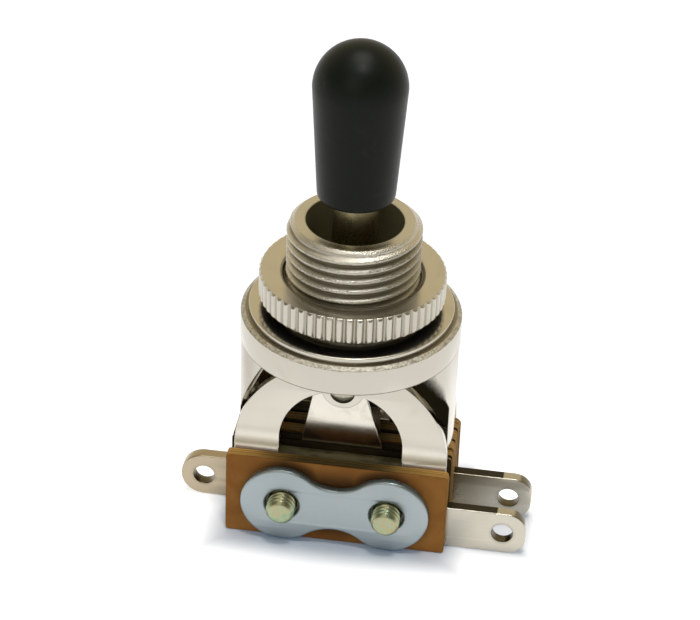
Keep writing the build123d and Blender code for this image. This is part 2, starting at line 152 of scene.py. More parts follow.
class Tree:
    """The node tree of one finish, with coordinates in millimetres."""

    def __init__(self, name: str) -> None:
        """Starts a material that holds one Principled shader.

        Args:
            name: name of the material.
        """
        self.material = bpy.data.materials.new(name)
        self.material.use_nodes = True
        self.nodes = self.material.node_tree.nodes
        self.links = self.material.node_tree.links
        self.shader = self.nodes["Principled BSDF"]
        where = self.add("ShaderNodeTexCoord")
        scaled = self.add("ShaderNodeVectorMath", {"operation": "SCALE"},
                          {0: where.outputs["Object"], "Scale": 1 / MM})
        self.place = scaled.outputs[0]
        self.normal = where.outputs["Normal"]

    def add(self, kind: str, settings: dict | None = None, sockets: dict | None = None) -> bpy.types.Node:
        """Adds a node, sets its settings first and then its sockets.

        Args:
            kind: the node's type name.
            settings: attributes of the node; "stops" fills a colour ramp.
            sockets: values or links by input name or number.

        Returns:
            The new node.
        """
        node = self.nodes.new(kind)
        for key, value in (settings or {}).items():
            if key == "stops":
                self._fill_ramp(node.color_ramp, value)
            else:
                setattr(node, key, value)
        for key, value in (sockets or {}).items():
            self.feed(node.inputs[key], value)
        return node

    @staticmethod
    def _fill_ramp(ramp: bpy.types.ColorRamp, stops: Sequence[tuple[float, Colour]]) -> None:
        """Gives a colour ramp these positions and colours."""
        while len(ramp.elements) < len(stops):
            ramp.elements.new(1.0)
        for element, (position, colour) in zip(ramp.elements, stops):
            element.position = position
            element.color = (*colour, 1.0)

    def feed(self, socket: bpy.types.NodeSocket, value: object) -> None:
        """Links a value or socket to an input, or sets the input's number or colour."""
        if isinstance(value, Value):
            self.links.new(value.socket, socket)
        elif isinstance(value, bpy.types.NodeSocket):
            self.links.new(value, socket)
        elif isinstance(value, tuple) and socket.type == "RGBA":
            socket.default_value = (*value, 1.0)
        else:
            socket.default_value = value

    def axes(self) -> tuple[Value, Value, Value]:
        """The place on the surface as three numbers in millimetres."""
        parts = self.add("ShaderNodeSeparateXYZ", None, {0: self.place})
        return tuple(Value(self, out) for out in parts.outputs)

    def tilt(self) -> tuple[Value, Value, Value]:
        """The surface normal in the row frame as three numbers."""
        parts = self.add("ShaderNodeSeparateXYZ", None, {0: self.normal})
        return tuple(Value(self, out) for out in parts.outputs)

    def noise(self, scale: float, detail: float = 3.0, stretch: Sequence[float] | None = None,
              roughness: float = 0.55, distortion: float = 0.0) -> Value:
        """Cloudy variation from 0 to 1.

        Args:
            scale: features per millimetre.
            detail: octaves.
            stretch: factors on the three axes, for streaks.
            roughness: share of the finer octaves.
            distortion: how much the clouds curl.

        Returns:
            The noise's factor.
        """
        place = self.place
        if stretch is not None:
            place = self.add("ShaderNodeMapping", None,
                             {"Vector": place, "Scale": tuple(stretch)}).outputs[0]
        node = self.add("ShaderNodeTexNoise", None, {
            "Vector": place, "Scale": scale, "Detail": detail, "Roughness": roughness,
            "Distortion": distortion})
        return Value(self, node.outputs[0])

    def cells(self, scale: float, randomness: float = 1.0) -> Value:
        """Distance to the nearest of scattered points, for specks and pits."""
        node = self.add("ShaderNodeTexVoronoi", None,
                        {"Vector": self.place, "Scale": scale, "Randomness": randomness})
        return Value(self, node.outputs["Distance"])

    def blend(self, share: object, first: object, second: object) -> bpy.types.NodeSocket:
        """A colour from first to second as share goes from 0 to 1."""
        node = self.add("ShaderNodeMix", {"data_type": "RGBA"},
                        {0: share, 6: first, 7: second})
        return node.outputs[2]

    def ramp(self, share: Value, stops: Sequence[tuple[float, Colour]]) -> bpy.types.NodeSocket:
        """A colour picked from stops by share."""
        node = self.add("ShaderNodeValToRGB", {"stops": stops}, {"Fac": share})
        return node.outputs["Color"]

    def relief(self, height: Value, depth_mm: float) -> bpy.types.NodeSocket:
        """Bump whose full height is depth_mm."""
        node = self.add("ShaderNodeBump", None, {
            "Height": height, "Distance": depth_mm * MM, "Strength": 1.0})
        return node.outputs[0]

    def surface(self, **sockets: object) -> bpy.types.Material:
        """Feeds the Principled shader; names use _ for a space."""
        for key, value in sockets.items():
            self.feed(self.shader.inputs[key.replace("_", " ").title()], value)
        return self.material


# ---------------------------------------------------------------------- finishes
@dataclass(frozen=True)
class Finish:
    """A surface finish that belongs to one material slot of the record."""

    name: str
    slot: str

    def build(self) -> bpy.types.Material:
        """Makes the material."""
        raise NotImplementedError


@dataclass
class Look:
    """What a metal finish gathers before it feeds the shader."""

    colour: object
    roughness: Value
    height: Value
    metallic: object = 1.0


@dataclass(frozen=True)
class NickelPlate(Finish):
    """Bright nickel over stamped steel or turned brass."""

    tint: Colour = (0.585, 0.555, 0.485)
    stain: Colour = (0.49, 0.445, 0.36)
    gloss: tuple[float, float] = (0.13, 0.24)
    peel_mm: float = 0.0012

    def dress(self, tree: Tree, look: Look) -> None:
        """Adds what only one piece shows; plain plate has nothing more."""

    def build(self) -> bpy.types.Material:
        """Nickel with clouded gloss, faint hairlines and a few pits."""
        tree = Tree(self.name)
        cloud = tree.noise(0.22, 4, distortion=0.6)
        streak = tree.noise(1.4, 3, stretch=(1.0, 1.0, 9.0))
        pits = tree.cells(1.3).rise(0.075, 0.035)
        stain = (cloud.rise(0.52, 0.78) * 0.5 + pits * 0.5).max(0.0)
        look = Look(tree.blend(stain, self.tint, self.stain),
                    cloud * (self.gloss[1] - self.gloss[0]) + self.gloss[0] + streak * 0.03,
                    tree.noise(3.2, 3) + tree.noise(14.0, 2) * 0.25 - pits * 1.6)
        self.dress(tree, look)
        return tree.surface(base_color=look.colour, metallic=look.metallic, roughness=look.roughness,
                            normal=tree.relief(look.height, self.peel_mm))


@dataclass(frozen=True)
class ThreadNickel(NickelPlate):
    """Nickel on a cut thread with chatter marks; painted shade in the grooves and on the right side, a
    painted reflection in the bore.
    """

    root: float = 5.54
    crest: float = 6.0

    def dress(self, tree: Tree, look: Look) -> None:
        """Paints shade into the grooves and onto the right side, a dim olive reflection onto the bore's wall,
        and roughens the flanks.
        """
        x, y, z = tree.axes()
        radius = (x * x + y * y) ** 0.5
        cut = z.rise(8.6, 8.4)
        deep = radius.rise(self.crest - 0.1, self.root) * radius.rise(4.9, 5.2) * cut
        well = radius.rise(4.5, 4.37) * z.rise(9.4, 9.25)
        chatter = tree.noise(5.0, 4, stretch=(1.0, 1.0, 3.0))
        torn = tree.noise(2.4, 5, stretch=(1.0, 1.0, 5.0), roughness=0.75)
        outside = radius.rise(5.0, 5.3)
        # painted shade: the grooves of the thread are darkened
        look.colour = tree.blend(deep * 0.9, look.colour, (0.115, 0.095, 0.055))
        # painted shade: the thread darkens toward its right side
        side = x.rise(1.5, 5.0) * outside * cut
        look.colour = tree.blend(side * 0.45, look.colour, (0.16, 0.145, 0.10))
        scar = torn.rise(0.54, 0.68) * outside * cut
        look.colour = tree.blend(scar * 0.85, look.colour, (0.12, 0.11, 0.07))
        # painted reflection: the bore's wall is coloured olive and made less metallic
        look.colour = tree.blend(well, look.colour, (0.34, 0.315, 0.19))
        look.metallic = 1.0 - well * 0.45
        look.roughness = look.roughness + deep * 0.18 + chatter * 0.08 + well * 0.1
        look.height = look.height + (chatter * 12.0 + torn * 34.0) * outside


@dataclass(frozen=True)
class NutNickel(NickelPlate):
    """Nickel on the nut: painted shade in the knurl grooves and on the underside."""

    gloss: tuple[float, float] = (0.15, 0.26)

    def dress(self, tree: Tree, look: Look) -> None:
        """Paints shade into the grooves of the knurl and onto the underside."""
        x, y, _ = tree.axes()
        radius = (x * x + y * y) ** 0.5
        _, _, up = tree.tilt()
        flank = abs(up).rise(0.5, 0.2)
        groove = radius.rise(8.30, 8.14) * radius.rise(7.6, 7.9) * flank
        under = up.rise(-0.85, -0.95)
        nick = tree.noise(3.4, 4, roughness=0.7)
        # painted shade in the knurl grooves
        look.colour = tree.blend(groove * 0.45, look.colour, (0.17, 0.145, 0.095))
        # painted shade: faces that look down are made nearly black
        look.colour = tree.blend(under, look.colour, (0.012, 0.012, 0.008))
        look.height = look.height + flank * nick * 9.0


@dataclass(frozen=True)
class SillNickel(NickelPlate):
    """Nickel on the bracket: painted shade on the window's sheared sill."""

    foot_top: float = -11.0
    set_back: float = 92.0      # how much the foot leans back, in units of the peel's height

    def dress(self, tree: Tree, look: Look) -> None:
        """Paints shade on the sill of the window and patchy darkening toward the foot of the legs; the feet
        lean back and are painted lighter above the stack.
        """
        x, _, z = tree.axes()
        _, facing, _ = tree.tilt()
        # painted shade: the window's sill is coloured dark olive and made less metallic, mottled by noise
        sill = z.rise(-13.2, -13.4) * abs(x).rise(5.75, 5.65)
        patch_noise = tree.noise(1.2, 4, stretch=(0.3, 1.0, 1.0))
        olive = tree.blend(patch_noise.rise(0.35, 0.65), (0.11, 0.095, 0.040), (0.26, 0.225, 0.110))
        foot = (self.foot_top - z).max(0.0) * abs(facing).rise(0.9, 0.97)
        # patchy darkening toward the foot of the legs, just above the stack
        blotch = (patch_noise - 0.25).max(0.0) * z.rise(-12.2, -13.2) * abs(x).rise(8.3, 6.5)
        look.colour = tree.blend(blotch * 1.1, look.colour, (0.150, 0.125, 0.070))
        # painted light: the feet are coloured lighter above the stack
        look.colour = tree.blend(foot.rise(0.3, 1.2) * 0.8, look.colour, (0.80, 0.76, 0.67))
        look.colour = tree.blend(sill, look.colour, olive)
        look.metallic = 1.0 - sill * 0.8
        look.roughness = look.roughness + sill * 0.3
        look.height = look.height + foot * foot * self.set_back


@dataclass(frozen=True)
class StudNickel(NickelPlate):
    """Nickel on the studs: a scuffed head, with painted shade on its lower half."""

    tint: Colour = (0.46, 0.43, 0.35)
    gloss: tuple[float, float] = (0.24, 0.36)

    def dress(self, tree: Tree, look: Look) -> None:
        """Paints shade onto the lower half of the head."""
        _, _, up = tree.tilt()
        scuff = tree.noise(3.0, 4, roughness=0.7)
        # painted shade: faces of the head that look down are darkened
        low = (up + (scuff - 0.5) * 0.3).rise(0.0, -0.18)
        look.colour = tree.blend(low * 0.9, look.colour, (0.085, 0.080, 0.050))
        look.height = look.height + scuff * 20.0


@dataclass(frozen=True)
class CupNickel(NickelPlate):
    """Nickel on the drawn cup: a coarse top bevel, and painted shade on the skirts that deepens toward their
    edges.
    """

    bevel_low: float = -0.25
    band: float = 2.75

    def dress(self, tree: Tree, look: Look) -> None:
        """Roughens the bevel, paints shade on the flat top, the band's lower edge and the left silhouette,
        and darkens each skirt from its middle outward as painted shade.
        """
        x, y, z = tree.axes()
        _, _, up = tree.tilt()
        radius = (x * x + y * y) ** 0.5
        ragged = tree.noise(2.2, 4, roughness=0.75) - 0.5
        bevel = (z + ragged * 0.16).rise(self.bevel_low - 0.06, self.bevel_low) * z.rise(0.02, -0.02)
        cut = tree.noise(4.2, 4, roughness=0.7)
        look.colour = tree.blend(bevel * cut.rise(0.42, 0.60) * 0.6, look.colour, (0.12, 0.105, 0.065))
        look.height = look.height + bevel * cut * 75.0
        look.roughness = look.roughness + bevel * 0.12
        flat = up.rise(0.97, 0.99) * z.rise(-0.06, -0.02)
        turning = tree.add("ShaderNodeTexNoise", {"noise_dimensions": "1D"},
                           {"W": radius, "Scale": 7.0, "Detail": 2.0, "Roughness": 0.6})
        rings = Value(tree, turning.outputs[0])
        # painted shade on the up-facing flat top, varied by real turning rings
        turned_and_shaded_flat = flat * (rings.rise(0.35, 0.6) * 0.35 + 0.55)
        look.colour = tree.blend(turned_and_shaded_flat, look.colour, (0.20, 0.17, 0.115))
        look.height = look.height + flat * rings * 10.0
        # painted shade: a dark line along the band's lower edge
        rim = z.rise(-self.band - 0.01, -self.band + 0.015) * z.rise(-self.band + 0.12, -self.band + 0.05)
        look.colour = tree.blend(rim * (ragged * 1.6 + 0.75), look.colour, (0.030, 0.026, 0.016))
        left = ((z + 6.1) * 0.5 + 6.0).max(2.5)
        right = ((z + 4.6) * 0.67 + 4.8).max(2.5)
        bright_half = left + (right - left) * x.rise(-1.0, 1.0)
        width = z.rise(-7.2, -5.0) * 0.75 + 0.15
        mottle = tree.noise(2.6, 4, roughness=0.7) - 0.5
        # painted shade: each skirt darkens from its bright middle toward its edges and loses its metal there
        skirt_shade = ((abs(y) - bright_half) / width + mottle * 0.8).rise(-1.0, 0.7)
        skirt_shade = skirt_shade * z.rise(-self.band + 0.02, -self.band - 0.05)
        # painted shade along the left silhouette of the skirt
        silhouette = x.rise(-7.0, -9.0) * z.rise(-self.band, -self.band - 0.1)
        look.colour = tree.blend(silhouette * (mottle + 0.85), look.colour, (0.34, 0.30, 0.24))
        look.colour = tree.blend(skirt_shade, look.colour, (0.020, 0.017, 0.008))
        look.metallic = 1.0 - skirt_shade
        look.roughness = look.roughness + skirt_shade * 0.3
        tree.shader.inputs["Specular IOR Level"].default_value = 0.0


@dataclass(frozen=True)
class LugNickel(NickelPlate):
    """Tinned lug: painted shade on its sheared upper edge, its end corner, the rear lug and the wall of the
    wire hole.
    """

    sheared: float = 0.96      # how squarely a face looks up before it counts as the sheared edge and takes the painted shade

    def dress(self, tree: Tree, look: Look) -> None:
        """Paints shade on the sheared edge, the end corner, the rear lug and the wall of the wire hole."""
        x, y, z = tree.axes()
        _, facing, up = tree.tilt()
        left = x.rise(-8.0, -9.0)
        look.colour = tree.blend(left * 0.6, look.colour, (0.37, 0.28, 0.16))
        # painted shade: the rear lug is darkened
        rear = x.rise(8.0, 9.0) * y.rise(-1.0, 0.0)
        look.colour = tree.blend(rear * x.rise(14.5, 11.0) * 0.8, look.colour, (0.28, 0.24, 0.16))
        # painted shade: up-facing faces of the sheared upper edge are made nearly black
        edge = up.rise(self.sheared - 0.06, self.sheared) * z.rise(-17.4, -17.3)
        dark = edge * x.rise(10.0, 10.05) * x.rise(14.75, 14.62)
        look.colour = tree.blend(dark * 0.96, look.colour, (0.024, 0.020, 0.012))
        # painted shade on the rounded upper corner at the lug's end
        corner = x.rise(15.9, 16.3) * up.rise(0.3, 0.5) * up.rise(0.98, 0.9)
        look.colour = tree.blend(corner * 0.7, look.colour, (0.07, 0.06, 0.035))
        aside = abs(x) - x.rise(-1.0, 1.0) * 2.25 - 13.0
        hole = (aside * aside + (z + 19.3) ** 2.0) ** 0.5
        smut = tree.noise(2.2, 4, roughness=0.7)
        # painted shade on the wall of the wire hole
        wall = hole.rise(1.04, 0.98) * abs(facing).rise(0.95, 0.80)
        look.colour = tree.blend(wall * 0.92, look.colour, (0.070, 0.058, 0.030))
        halo = hole.rise(1.35, 1.0) * (smut * 1.4 - 0.25)
        look.colour = tree.blend(halo.max(0.0) * 0.6, look.colour, (0.20, 0.17, 0.11))
        look.height = look.height + smut * hole.rise(1.3, 0.9) * 30.0


@dataclass(frozen=True)
class ZincPlate(Finish):
    """Clear blue zinc plate with a fine matt grain."""

    tint: Colour = (0.340, 0.390, 0.410)

    def build(self) -> bpy.types.Material:
        """Bluish metal, grained, with a painted dark reflection on its punched edge."""
        tree = Tree(self.name)
        grain = tree.noise(11.0, 4, roughness=0.7)
        cloud = tree.noise(0.5, 3, distortion=0.4)
        _, facing, _ = tree.tilt()
        edge = abs(facing).rise(0.75, 0.25)
        colour = tree.blend(cloud.rise(0.35, 0.75) * 0.45, self.tint, (0.370, 0.395, 0.390))
        patch = tree.noise(0.9, 3).rise(0.56, 0.68)
        # painted dark reflection on the punched edge, left out where noise patches keep the bare metal
        rim = edge * (1.0 - patch)
        colour = tree.blend(rim * 0.9, colour, (0.15, 0.19, 0.17))
        roughness = 0.30 + grain * 0.12 + cloud * 0.06 - edge * 0.12
        return tree.surface(base_color=colour, metallic=1.0 - rim * 0.6, roughness=roughness,
                            normal=tree.relief(grain + cloud * 0.4, 0.004))


@dataclass(frozen=True)
class Phenolic(Finish):
    """Brown laminated phenolic sheet: mottled faces, golden layered edges."""

    face: Colour = (0.330, 0.135, 0.030)
    worn: Colour = (0.430, 0.195, 0.048)
    # colour of the painted shade round the clamp plate
    plate_shade: Colour = (0.080, 0.038, 0.012)
    # colours of the painted shade on the cut edges
    dims: tuple[Colour, Colour] = ((0.075, 0.045, 0.013), (0.230, 0.160, 0.048))
    reach: Point = (2.5, 7.5)       # half widths between which the painted shade on the upward cut edge gives way to golden
    edge_shade: float = 0.0               # how far the whole cut edge is painted olive as shade

    def build(self) -> bpy.types.Material:
        """Faint paper fibre on the faces, plies along the cut edges, painted shade round the clamp plate and
        on the upward cut edges in the middle.
        """
        tree = Tree(self.name)
        x, y, z = tree.axes()
        _, facing, up = tree.tilt()
        fibre = tree.noise(1.6, 5, stretch=(0.8, 1.0, 1.2), roughness=0.6)
        cloud = tree.noise(0.28, 3, distortion=0.7)
        face = tree.blend(cloud.rise(0.35, 0.72) * 0.8 + fibre * 0.15, self.face, self.worn)
        # painted shade on the board round the clamp plate's waist and upper lobes
        plate = ((abs(x) - SCREW_X) ** 2 + (z - SCREW_Z) ** 2) ** 0.5
        waist = abs(x).rise(3.2, 1.0) * abs(z - SCREW_Z).rise(4.4, 2.4)
        above = z.rise(-16.5, -14.0) * abs(x).rise(8.5, 4.5)
        shade = (plate.rise(5.0, 4.0) * above).max(waist) * 0.9
        face = tree.blend(shade, face, self.plate_shade)
        wander = tree.noise(0.5, 3) * 0.35
        plies = tree.add("ShaderNodeTexNoise", {"noise_dimensions": "1D"},
                         {"W": y + wander, "Scale": 4.5, "Detail": 3.0, "Roughness": 0.7})
        ply = Value(tree, plies.outputs[0])
        edge = tree.ramp(ply, [(0.33, (0.21, 0.100, 0.024)), (0.47, (0.40, 0.220, 0.055)),
                               (0.58, (0.60, 0.330, 0.085)), (0.75, (0.82, 0.540, 0.190))])
        blotch = tree.noise(0.6, 4, distortion=0.8)
        # painted shade on the upward cut edges toward the middle
        middle_edge_shade = (abs(x) + blotch * 3.0 - 1.5).rise(self.reach[1], self.reach[0])
        dim = tree.blend(ply.rise(0.35, 0.7), *self.dims)
        # painted shade over the whole cut edge
        edge = tree.blend(self.edge_shade, edge, (0.150, 0.115, 0.052))
        edge = tree.blend(middle_edge_shade * up.rise(0.3, 0.7), edge, dim)
        cut = abs(facing).rise(0.8, 0.5)
        colour = tree.blend(cut, face, edge)
        roughness = 0.50 + fibre * 0.16 + cut * 0.08
        height = fibre * 1.0 + cut * (ply * 3.0 + tree.noise(3.0, 3, stretch=(1.0, 0.2, 1.0)) * 2.0)
        tree.shader.inputs["IOR"].default_value = 1.5
        tree.shader.inputs["Specular IOR Level"].default_value = 0.07
        return tree.surface(base_color=colour, roughness=roughness,
                            normal=tree.relief(height, 0.012))


@dataclass(frozen=True)
class BlackMoulding(Finish):
    """Black moulded plastic with a soft gloss."""

    def build(self) -> bpy.types.Material:
        """Fine moulded peel and faint dust."""
        tree = Tree(self.name)
        dust = tree.cells(2.2).rise(0.05, 0.02)
        blotch = tree.noise(0.4, 4, distortion=0.8)
        colour = tree.blend(dust * 0.6 + blotch.rise(0.55, 0.85) * 0.06,
                            (0.0075, 0.0100, 0.0070), (0.20, 0.20, 0.18))
        roughness = 0.30 + blotch * 0.12
        height = tree.noise(5.0, 3) + tree.noise(1.0, 2) * 0.8
        tree.shader.inputs["Specular IOR Level"].default_value = 0.13
        return tree.surface(base_color=colour, roughness=roughness,
                            normal=tree.relief(height, 0.006))


@dataclass(frozen=True)
class Chromate(Finish):
    """Iridescent yellow chromate on a steel screw."""

    def build(self) -> bpy.types.Material:
        """Yellow, green and pink film that drifts over the thread."""
        tree = Tree(self.name)
        film = tree.noise(0.55, 3, distortion=0.9)
        colour = tree.ramp(film, [(0.28, (0.24, 0.34, 0.21)), (0.43, (0.34, 0.40, 0.26)),
                                  (0.53, (0.40, 0.36, 0.20)), (0.62, (0.33, 0.39, 0.30)),
                                  (0.74, (0.50, 0.32, 0.32))])
        grain = tree.noise(9.0, 3)
        return tree.surface(base_color=colour, metallic=1.0, roughness=0.24 + grain * 0.14,
                            normal=tree.relief(grain, 0.008))


@dataclass(frozen=True)
class PlainMetal(Finish):
    """A satin metal of one tint, clouded and finely scratched."""

    tint: Colour = (0.70, 0.66, 0.60)
    tarnish: Colour = (0.50, 0.44, 0.34)
    gloss: tuple[float, float] = (0.18, 0.32)

    def build(self) -> bpy.types.Material:
        """Metal with tarnish in clouds and drawn lines along Z."""
        tree = Tree(self.name)
        cloud = tree.noise(0.5, 4, distortion=0.5)
        lines = tree.noise(2.5, 3, stretch=(5.0, 5.0, 0.6))
        colour = tree.blend(cloud.rise(0.45, 0.8) * 0.6, self.tint, self.tarnish)
        roughness = cloud * (self.gloss[1] - self.gloss[0]) + self.gloss[0] + lines * 0.05
        return tree.surface(base_color=colour, metallic=1.0, roughness=roughness,
                            normal=tree.relief(lines + cloud * 0.3, 0.003))


@dataclass(frozen=True)
class Moulded(Finish):
    """Pale moulded or drawn plastic."""

    tint: Colour = (0.72, 0.69, 0.60)
    shade: Colour = (0.58, 0.54, 0.44)

    def build(self) -> bpy.types.Material:
        """Slightly clouded plastic with a soft grain."""
        tree = Tree(self.name)
        cloud = tree.noise(0.8, 4)
        colour = tree.blend(cloud.rise(0.35, 0.75), self.tint, self.shade)
        return tree.surface(base_color=colour, roughness=0.38 + cloud * 0.12,
                            normal=tree.relief(tree.noise(6.0, 2), 0.004))


class Paint:
    """Builds each finish once and hands it to pieces."""

    def __init__(self) -> None:
        """Starts with no material made."""
        self._made: dict[str, bpy.types.Material] = {}

    def coat(self, piece: bpy.types.Object, finish: Finish) -> None:
        """Gives a piece its finish."""
        if finish.name not in self._made:
            self._made[finish.name] = finish.build()
        piece.data.materials.clear()
        piece.data.materials.append(self._made[finish.name])


PAINT = Paint()
SHEET_NICKEL = NickelPlate("sheet_nickel", "nickel_plate")
# painted shade: the lever's nickel rod in the bore is coloured dark olive
ROD_NICKEL = PlainMetal("rod_nickel", "nickel_plate", tint=(0.42, 0.37, 0.22), tarnish=(0.20, 0.16, 0.08))
STUD_NICKEL = StudNickel("stud_nickel", "nickel_plate")
SHADED_SPRING = PlainMetal("shaded_strip", "leaf_spring", tint=(0.13, 0.11, 0.075), gloss=(0.25, 0.4))
SPRING = PlainMetal("spring_strip", "leaf_spring", tint=(0.72, 0.69, 0.61), gloss=(0.10, 0.2))
LUG_NICKEL = LugNickel("lug_nickel", "nickel_terminal", tint=(0.52, 0.49, 0.42), gloss=(0.20, 0.34))
SILVER = PlainMetal("contact_silver", "silver_contact", tint=(0.80, 0.79, 0.76))
BRASS = PlainMetal("plain_brass", "brass_inner", tint=(0.66, 0.48, 0.20), tarnish=(0.42, 0.27, 0.10))
ZINC = ZincPlate("zinc_plate", "zinc_plate")
BOARD = Phenolic("phenolic_board", "phenolic")
# the phenolic with painted shade on its cut edges
SHADED_EDGE_BOARD = Phenolic("shaded_edge_board", "phenolic", reach=(7.5, 9.2), edge_shade=0.75)
# the phenolic darkened throughout: a shaded copy for the sheets inside the stack
INNER_BOARD = Phenolic("inner_board", "phenolic", face=(0.030, 0.020, 0.009), worn=(0.055, 0.038, 0.016),
                       plate_shade=(0.016, 0.011, 0.006), dims=((0.010, 0.007, 0.003), (0.040, 0.029, 0.012)),
                       reach=(8.2, 9.3), edge_shade=0.3)
BLACK = BlackMoulding("black_moulding", "black_cap")
YELLOW_SCREW = Chromate("screw_chromate", "screw_chromate")
TUBE = Moulded("insulating_tube", "clear_tube")
NYLON = Moulded("white_nylon", "white_roller", tint=(0.80, 0.79, 0.74), shade=(0.72, 0.70, 0.64))


# ------------------------------------------------------------------ shape helpers
@dataclass(frozen=True)
class Extent:
    """A node's box at rest, in millimetres."""

    low: Vector
    high: Vector

    @classmethod
    def of(cls, node: str) -> "Extent":
        """Reads the node's box from the frame."""
        low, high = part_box(node)
        return cls(low / MM, high / MM)

    @property
    def size(self) -> Vector:
        """Lengths of the three sides."""
        return self.high - self.low

    @property
    def centre(self) -> Vector:
        """Middle of the box."""
        return (self.low + self.high) / 2


def arc(centre: Point, radius: float, start: float, end: float, steps: int = 32) -> list[Point]:
    """Points on a circle from one angle to another, in degrees."""
    angles = np.radians(np.linspace(start, end, steps + 1))
    return [(centre[0] + radius * math.cos(a), centre[1] + radius * math.sin(a)) for a in angles]


def eased(points: Sequence[Point], radius: float, closed: bool = True, steps: int = 4,
          sharper_than: float = 20.0) -> list[Point]:
    """Rounds the sharp corners of an outline.

    Args:
        points: the outline's points.
        radius: radius of the rounding in millimetres.
        closed: whether the last point joins the first.
        steps: segments of each rounding.
        sharper_than: corners that turn by less than this many degrees are kept.

    Returns:
        The outline with its corners rounded.
    """
    result: list[Point] = []
    count = len(points)
    for i, here in enumerate(points):
        if not closed and i in (0, count - 1):
            result.append(here)
            continue
        p = Vector(here)
        back = Vector(points[i - 1]) - p
        ahead = Vector(points[(i + 1) % count]) - p
        if back.length < 1e-9 or ahead.length < 1e-9:
            continue
        turn = math.degrees(math.pi - back.angle(ahead))
        if turn < sharper_than:
            result.append(here)
            continue
        half = back.angle(ahead) / 2
        reach = min(radius / math.tan(half), 0.48 * back.length, 0.48 * ahead.length)
        a, b = p + back.normalized() * reach, p + ahead.normalized() * reach
        for k in range(steps + 1):
            t = k / steps
            q = a * (1 - t) ** 2 + p * 2 * t * (1 - t) + b * t ** 2
            result.append((q.x, q.y))
    return result


def smooth(mesh: bpy.types.Mesh, sharp_angle: float = 35.0) -> bpy.types.Mesh:
    """Shades a mesh smooth, apart from edges that turn by more than sharp_angle."""
    mesh.shade_smooth()
    mesh.set_sharp_from_angle(angle=math.radians(sharp_angle))
    return mesh


def skin(rings: np.ndarray, cap_first: bool = False, cap_last: bool = False) -> bpy.types.Mesh:
    """A surface over closed rings of equal length.

    Args:
        rings: array of ring, column and xyz in millimetres.
        cap_first: closes the first ring with a face.
        cap_last: closes the last ring with a face.

    Returns:
        The mesh in metres.
    """
    count, columns, _ = rings.shape
    index = np.arange(count * columns).reshape(count, columns)
    right = np.roll(index, -1, axis=1)
    quads = np.stack([index[:-1], right[:-1], right[1:], index[1:]], axis=-1).reshape(-1, 4)
    faces = [tuple(q) for q in quads.tolist()]
    if cap_first:
        faces.append(tuple(index[0][::-1].tolist()))
    if cap_last:
        faces.append(tuple(index[-1].tolist()))
    mesh = bpy.data.meshes.new("skin")
    mesh.from_pydata((rings.reshape(-1, 3) * MM).tolist(), [], faces)
    return mesh


def closed_skin(rings: np.ndarray) -> bpy.types.Mesh:
    """A surface over rings whose last ring joins the first."""
    mesh = skin(np.concatenate([rings, rings[:1]]))
    return weld(mesh)


def weld(mesh: bpy.types.Mesh, distance_mm: float = 0.0005) -> bpy.types.Mesh:
    """Joins points that lie on each other and turns all faces outward."""
    bm = bmesh.new()
    bm.from_mesh(mesh)
    bmesh.ops.remove_doubles(bm, verts=bm.verts, dist=distance_mm * MM)
    bmesh.ops.dissolve_degenerate(bm, edges=bm.edges, dist=1e-9)
    bmesh.ops.recalc_face_normals(bm, faces=bm.faces)
    bm.to_mesh(mesh)
    bm.free()
    return mesh


def turned(profile: Sequence[Point], columns: int = 256) -> bpy.types.Mesh:
    """A turned piece about Z.

    Args:
        profile: closed outline as (radius, height) points.
        columns: facets round the axis.

    Returns:
        The mesh in metres.
    """
    angles = np.linspace(0, 2 * np.pi, columns, endpoint=False)
    outline = np.array(profile)
    rings = np.stack([
        outline[:, :1] * np.cos(angles), outline[:, :1] * np.sin(angles),
        np.repeat(outline[:, 1:], columns, axis=1)], axis=-1)
    return closed_skin(rings)


def moved(mesh: bpy.types.Mesh, x: float = 0.0, y: float = 0.0, z: float = 0.0,
          tip: float = 0.0) -> bpy.types.Mesh:
    """Tips a mesh about X by tip degrees, then shifts it by millimetres."""
    mesh.transform(Matrix.Translation(Vector((x, y, z)) * MM) @ Matrix.Rotation(math.radians(tip), 4, "X"))
    return mesh


def sheet(outline: Sequence[Point], holes: Sequence[Sequence[Point]], front: float, thick: float,
          edge: float, facing: Facing = Facing.FRONT) -> bpy.types.Mesh:
    """A flat piece with rounded edges, cut from an outline with holes.

    Args:
        outline: outer edge in the sheet's plane.
        holes: edges of the holes.
        front: lowest coordinate of the sheet along its thickness.
        thick: thickness.
        edge: radius of the rounded edges.
        facing: plane that the sheet lies in.

    Returns:
        The mesh in metres.
    """
    curve = bpy.data.curves.new("sheet", "CURVE")
    curve.dimensions = "2D"
    curve.fill_mode = "BOTH"
    curve.extrude = (thick / 2 - edge) * MM
    curve.bevel_depth = edge * MM
    curve.bevel_resolution = 2
    curve.offset = -edge * MM
    for points, clockwise in [(outline, False)] + [(hole, True) for hole in holes]:
        area = sum(a[0] * b[1] - b[0] * a[1] for a, b in zip(points, list(points[1:]) + [points[0]]))
        ordered = list(points) if (area < 0) == clockwise else list(reversed(points))
        spline = curve.splines.new("POLY")
        spline.points.add(len(ordered) - 1)
        for point, (u, v) in zip(spline.points, ordered):
            point.co = (u * MM, v * MM, 0.0, 1.0)
        spline.use_cyclic_u = True
    holder = bpy.data.objects.new("sheet", curve)
    mesh = bpy.data.meshes.new_from_object(holder)
    bpy.data.objects.remove(holder)
    bpy.data.curves.remove(curve)
    middle = front + thick / 2
    if facing is Facing.FRONT:
        moved(mesh, y=middle, tip=90)
    else:
        moved(mesh, z=middle)
    return weld(mesh)


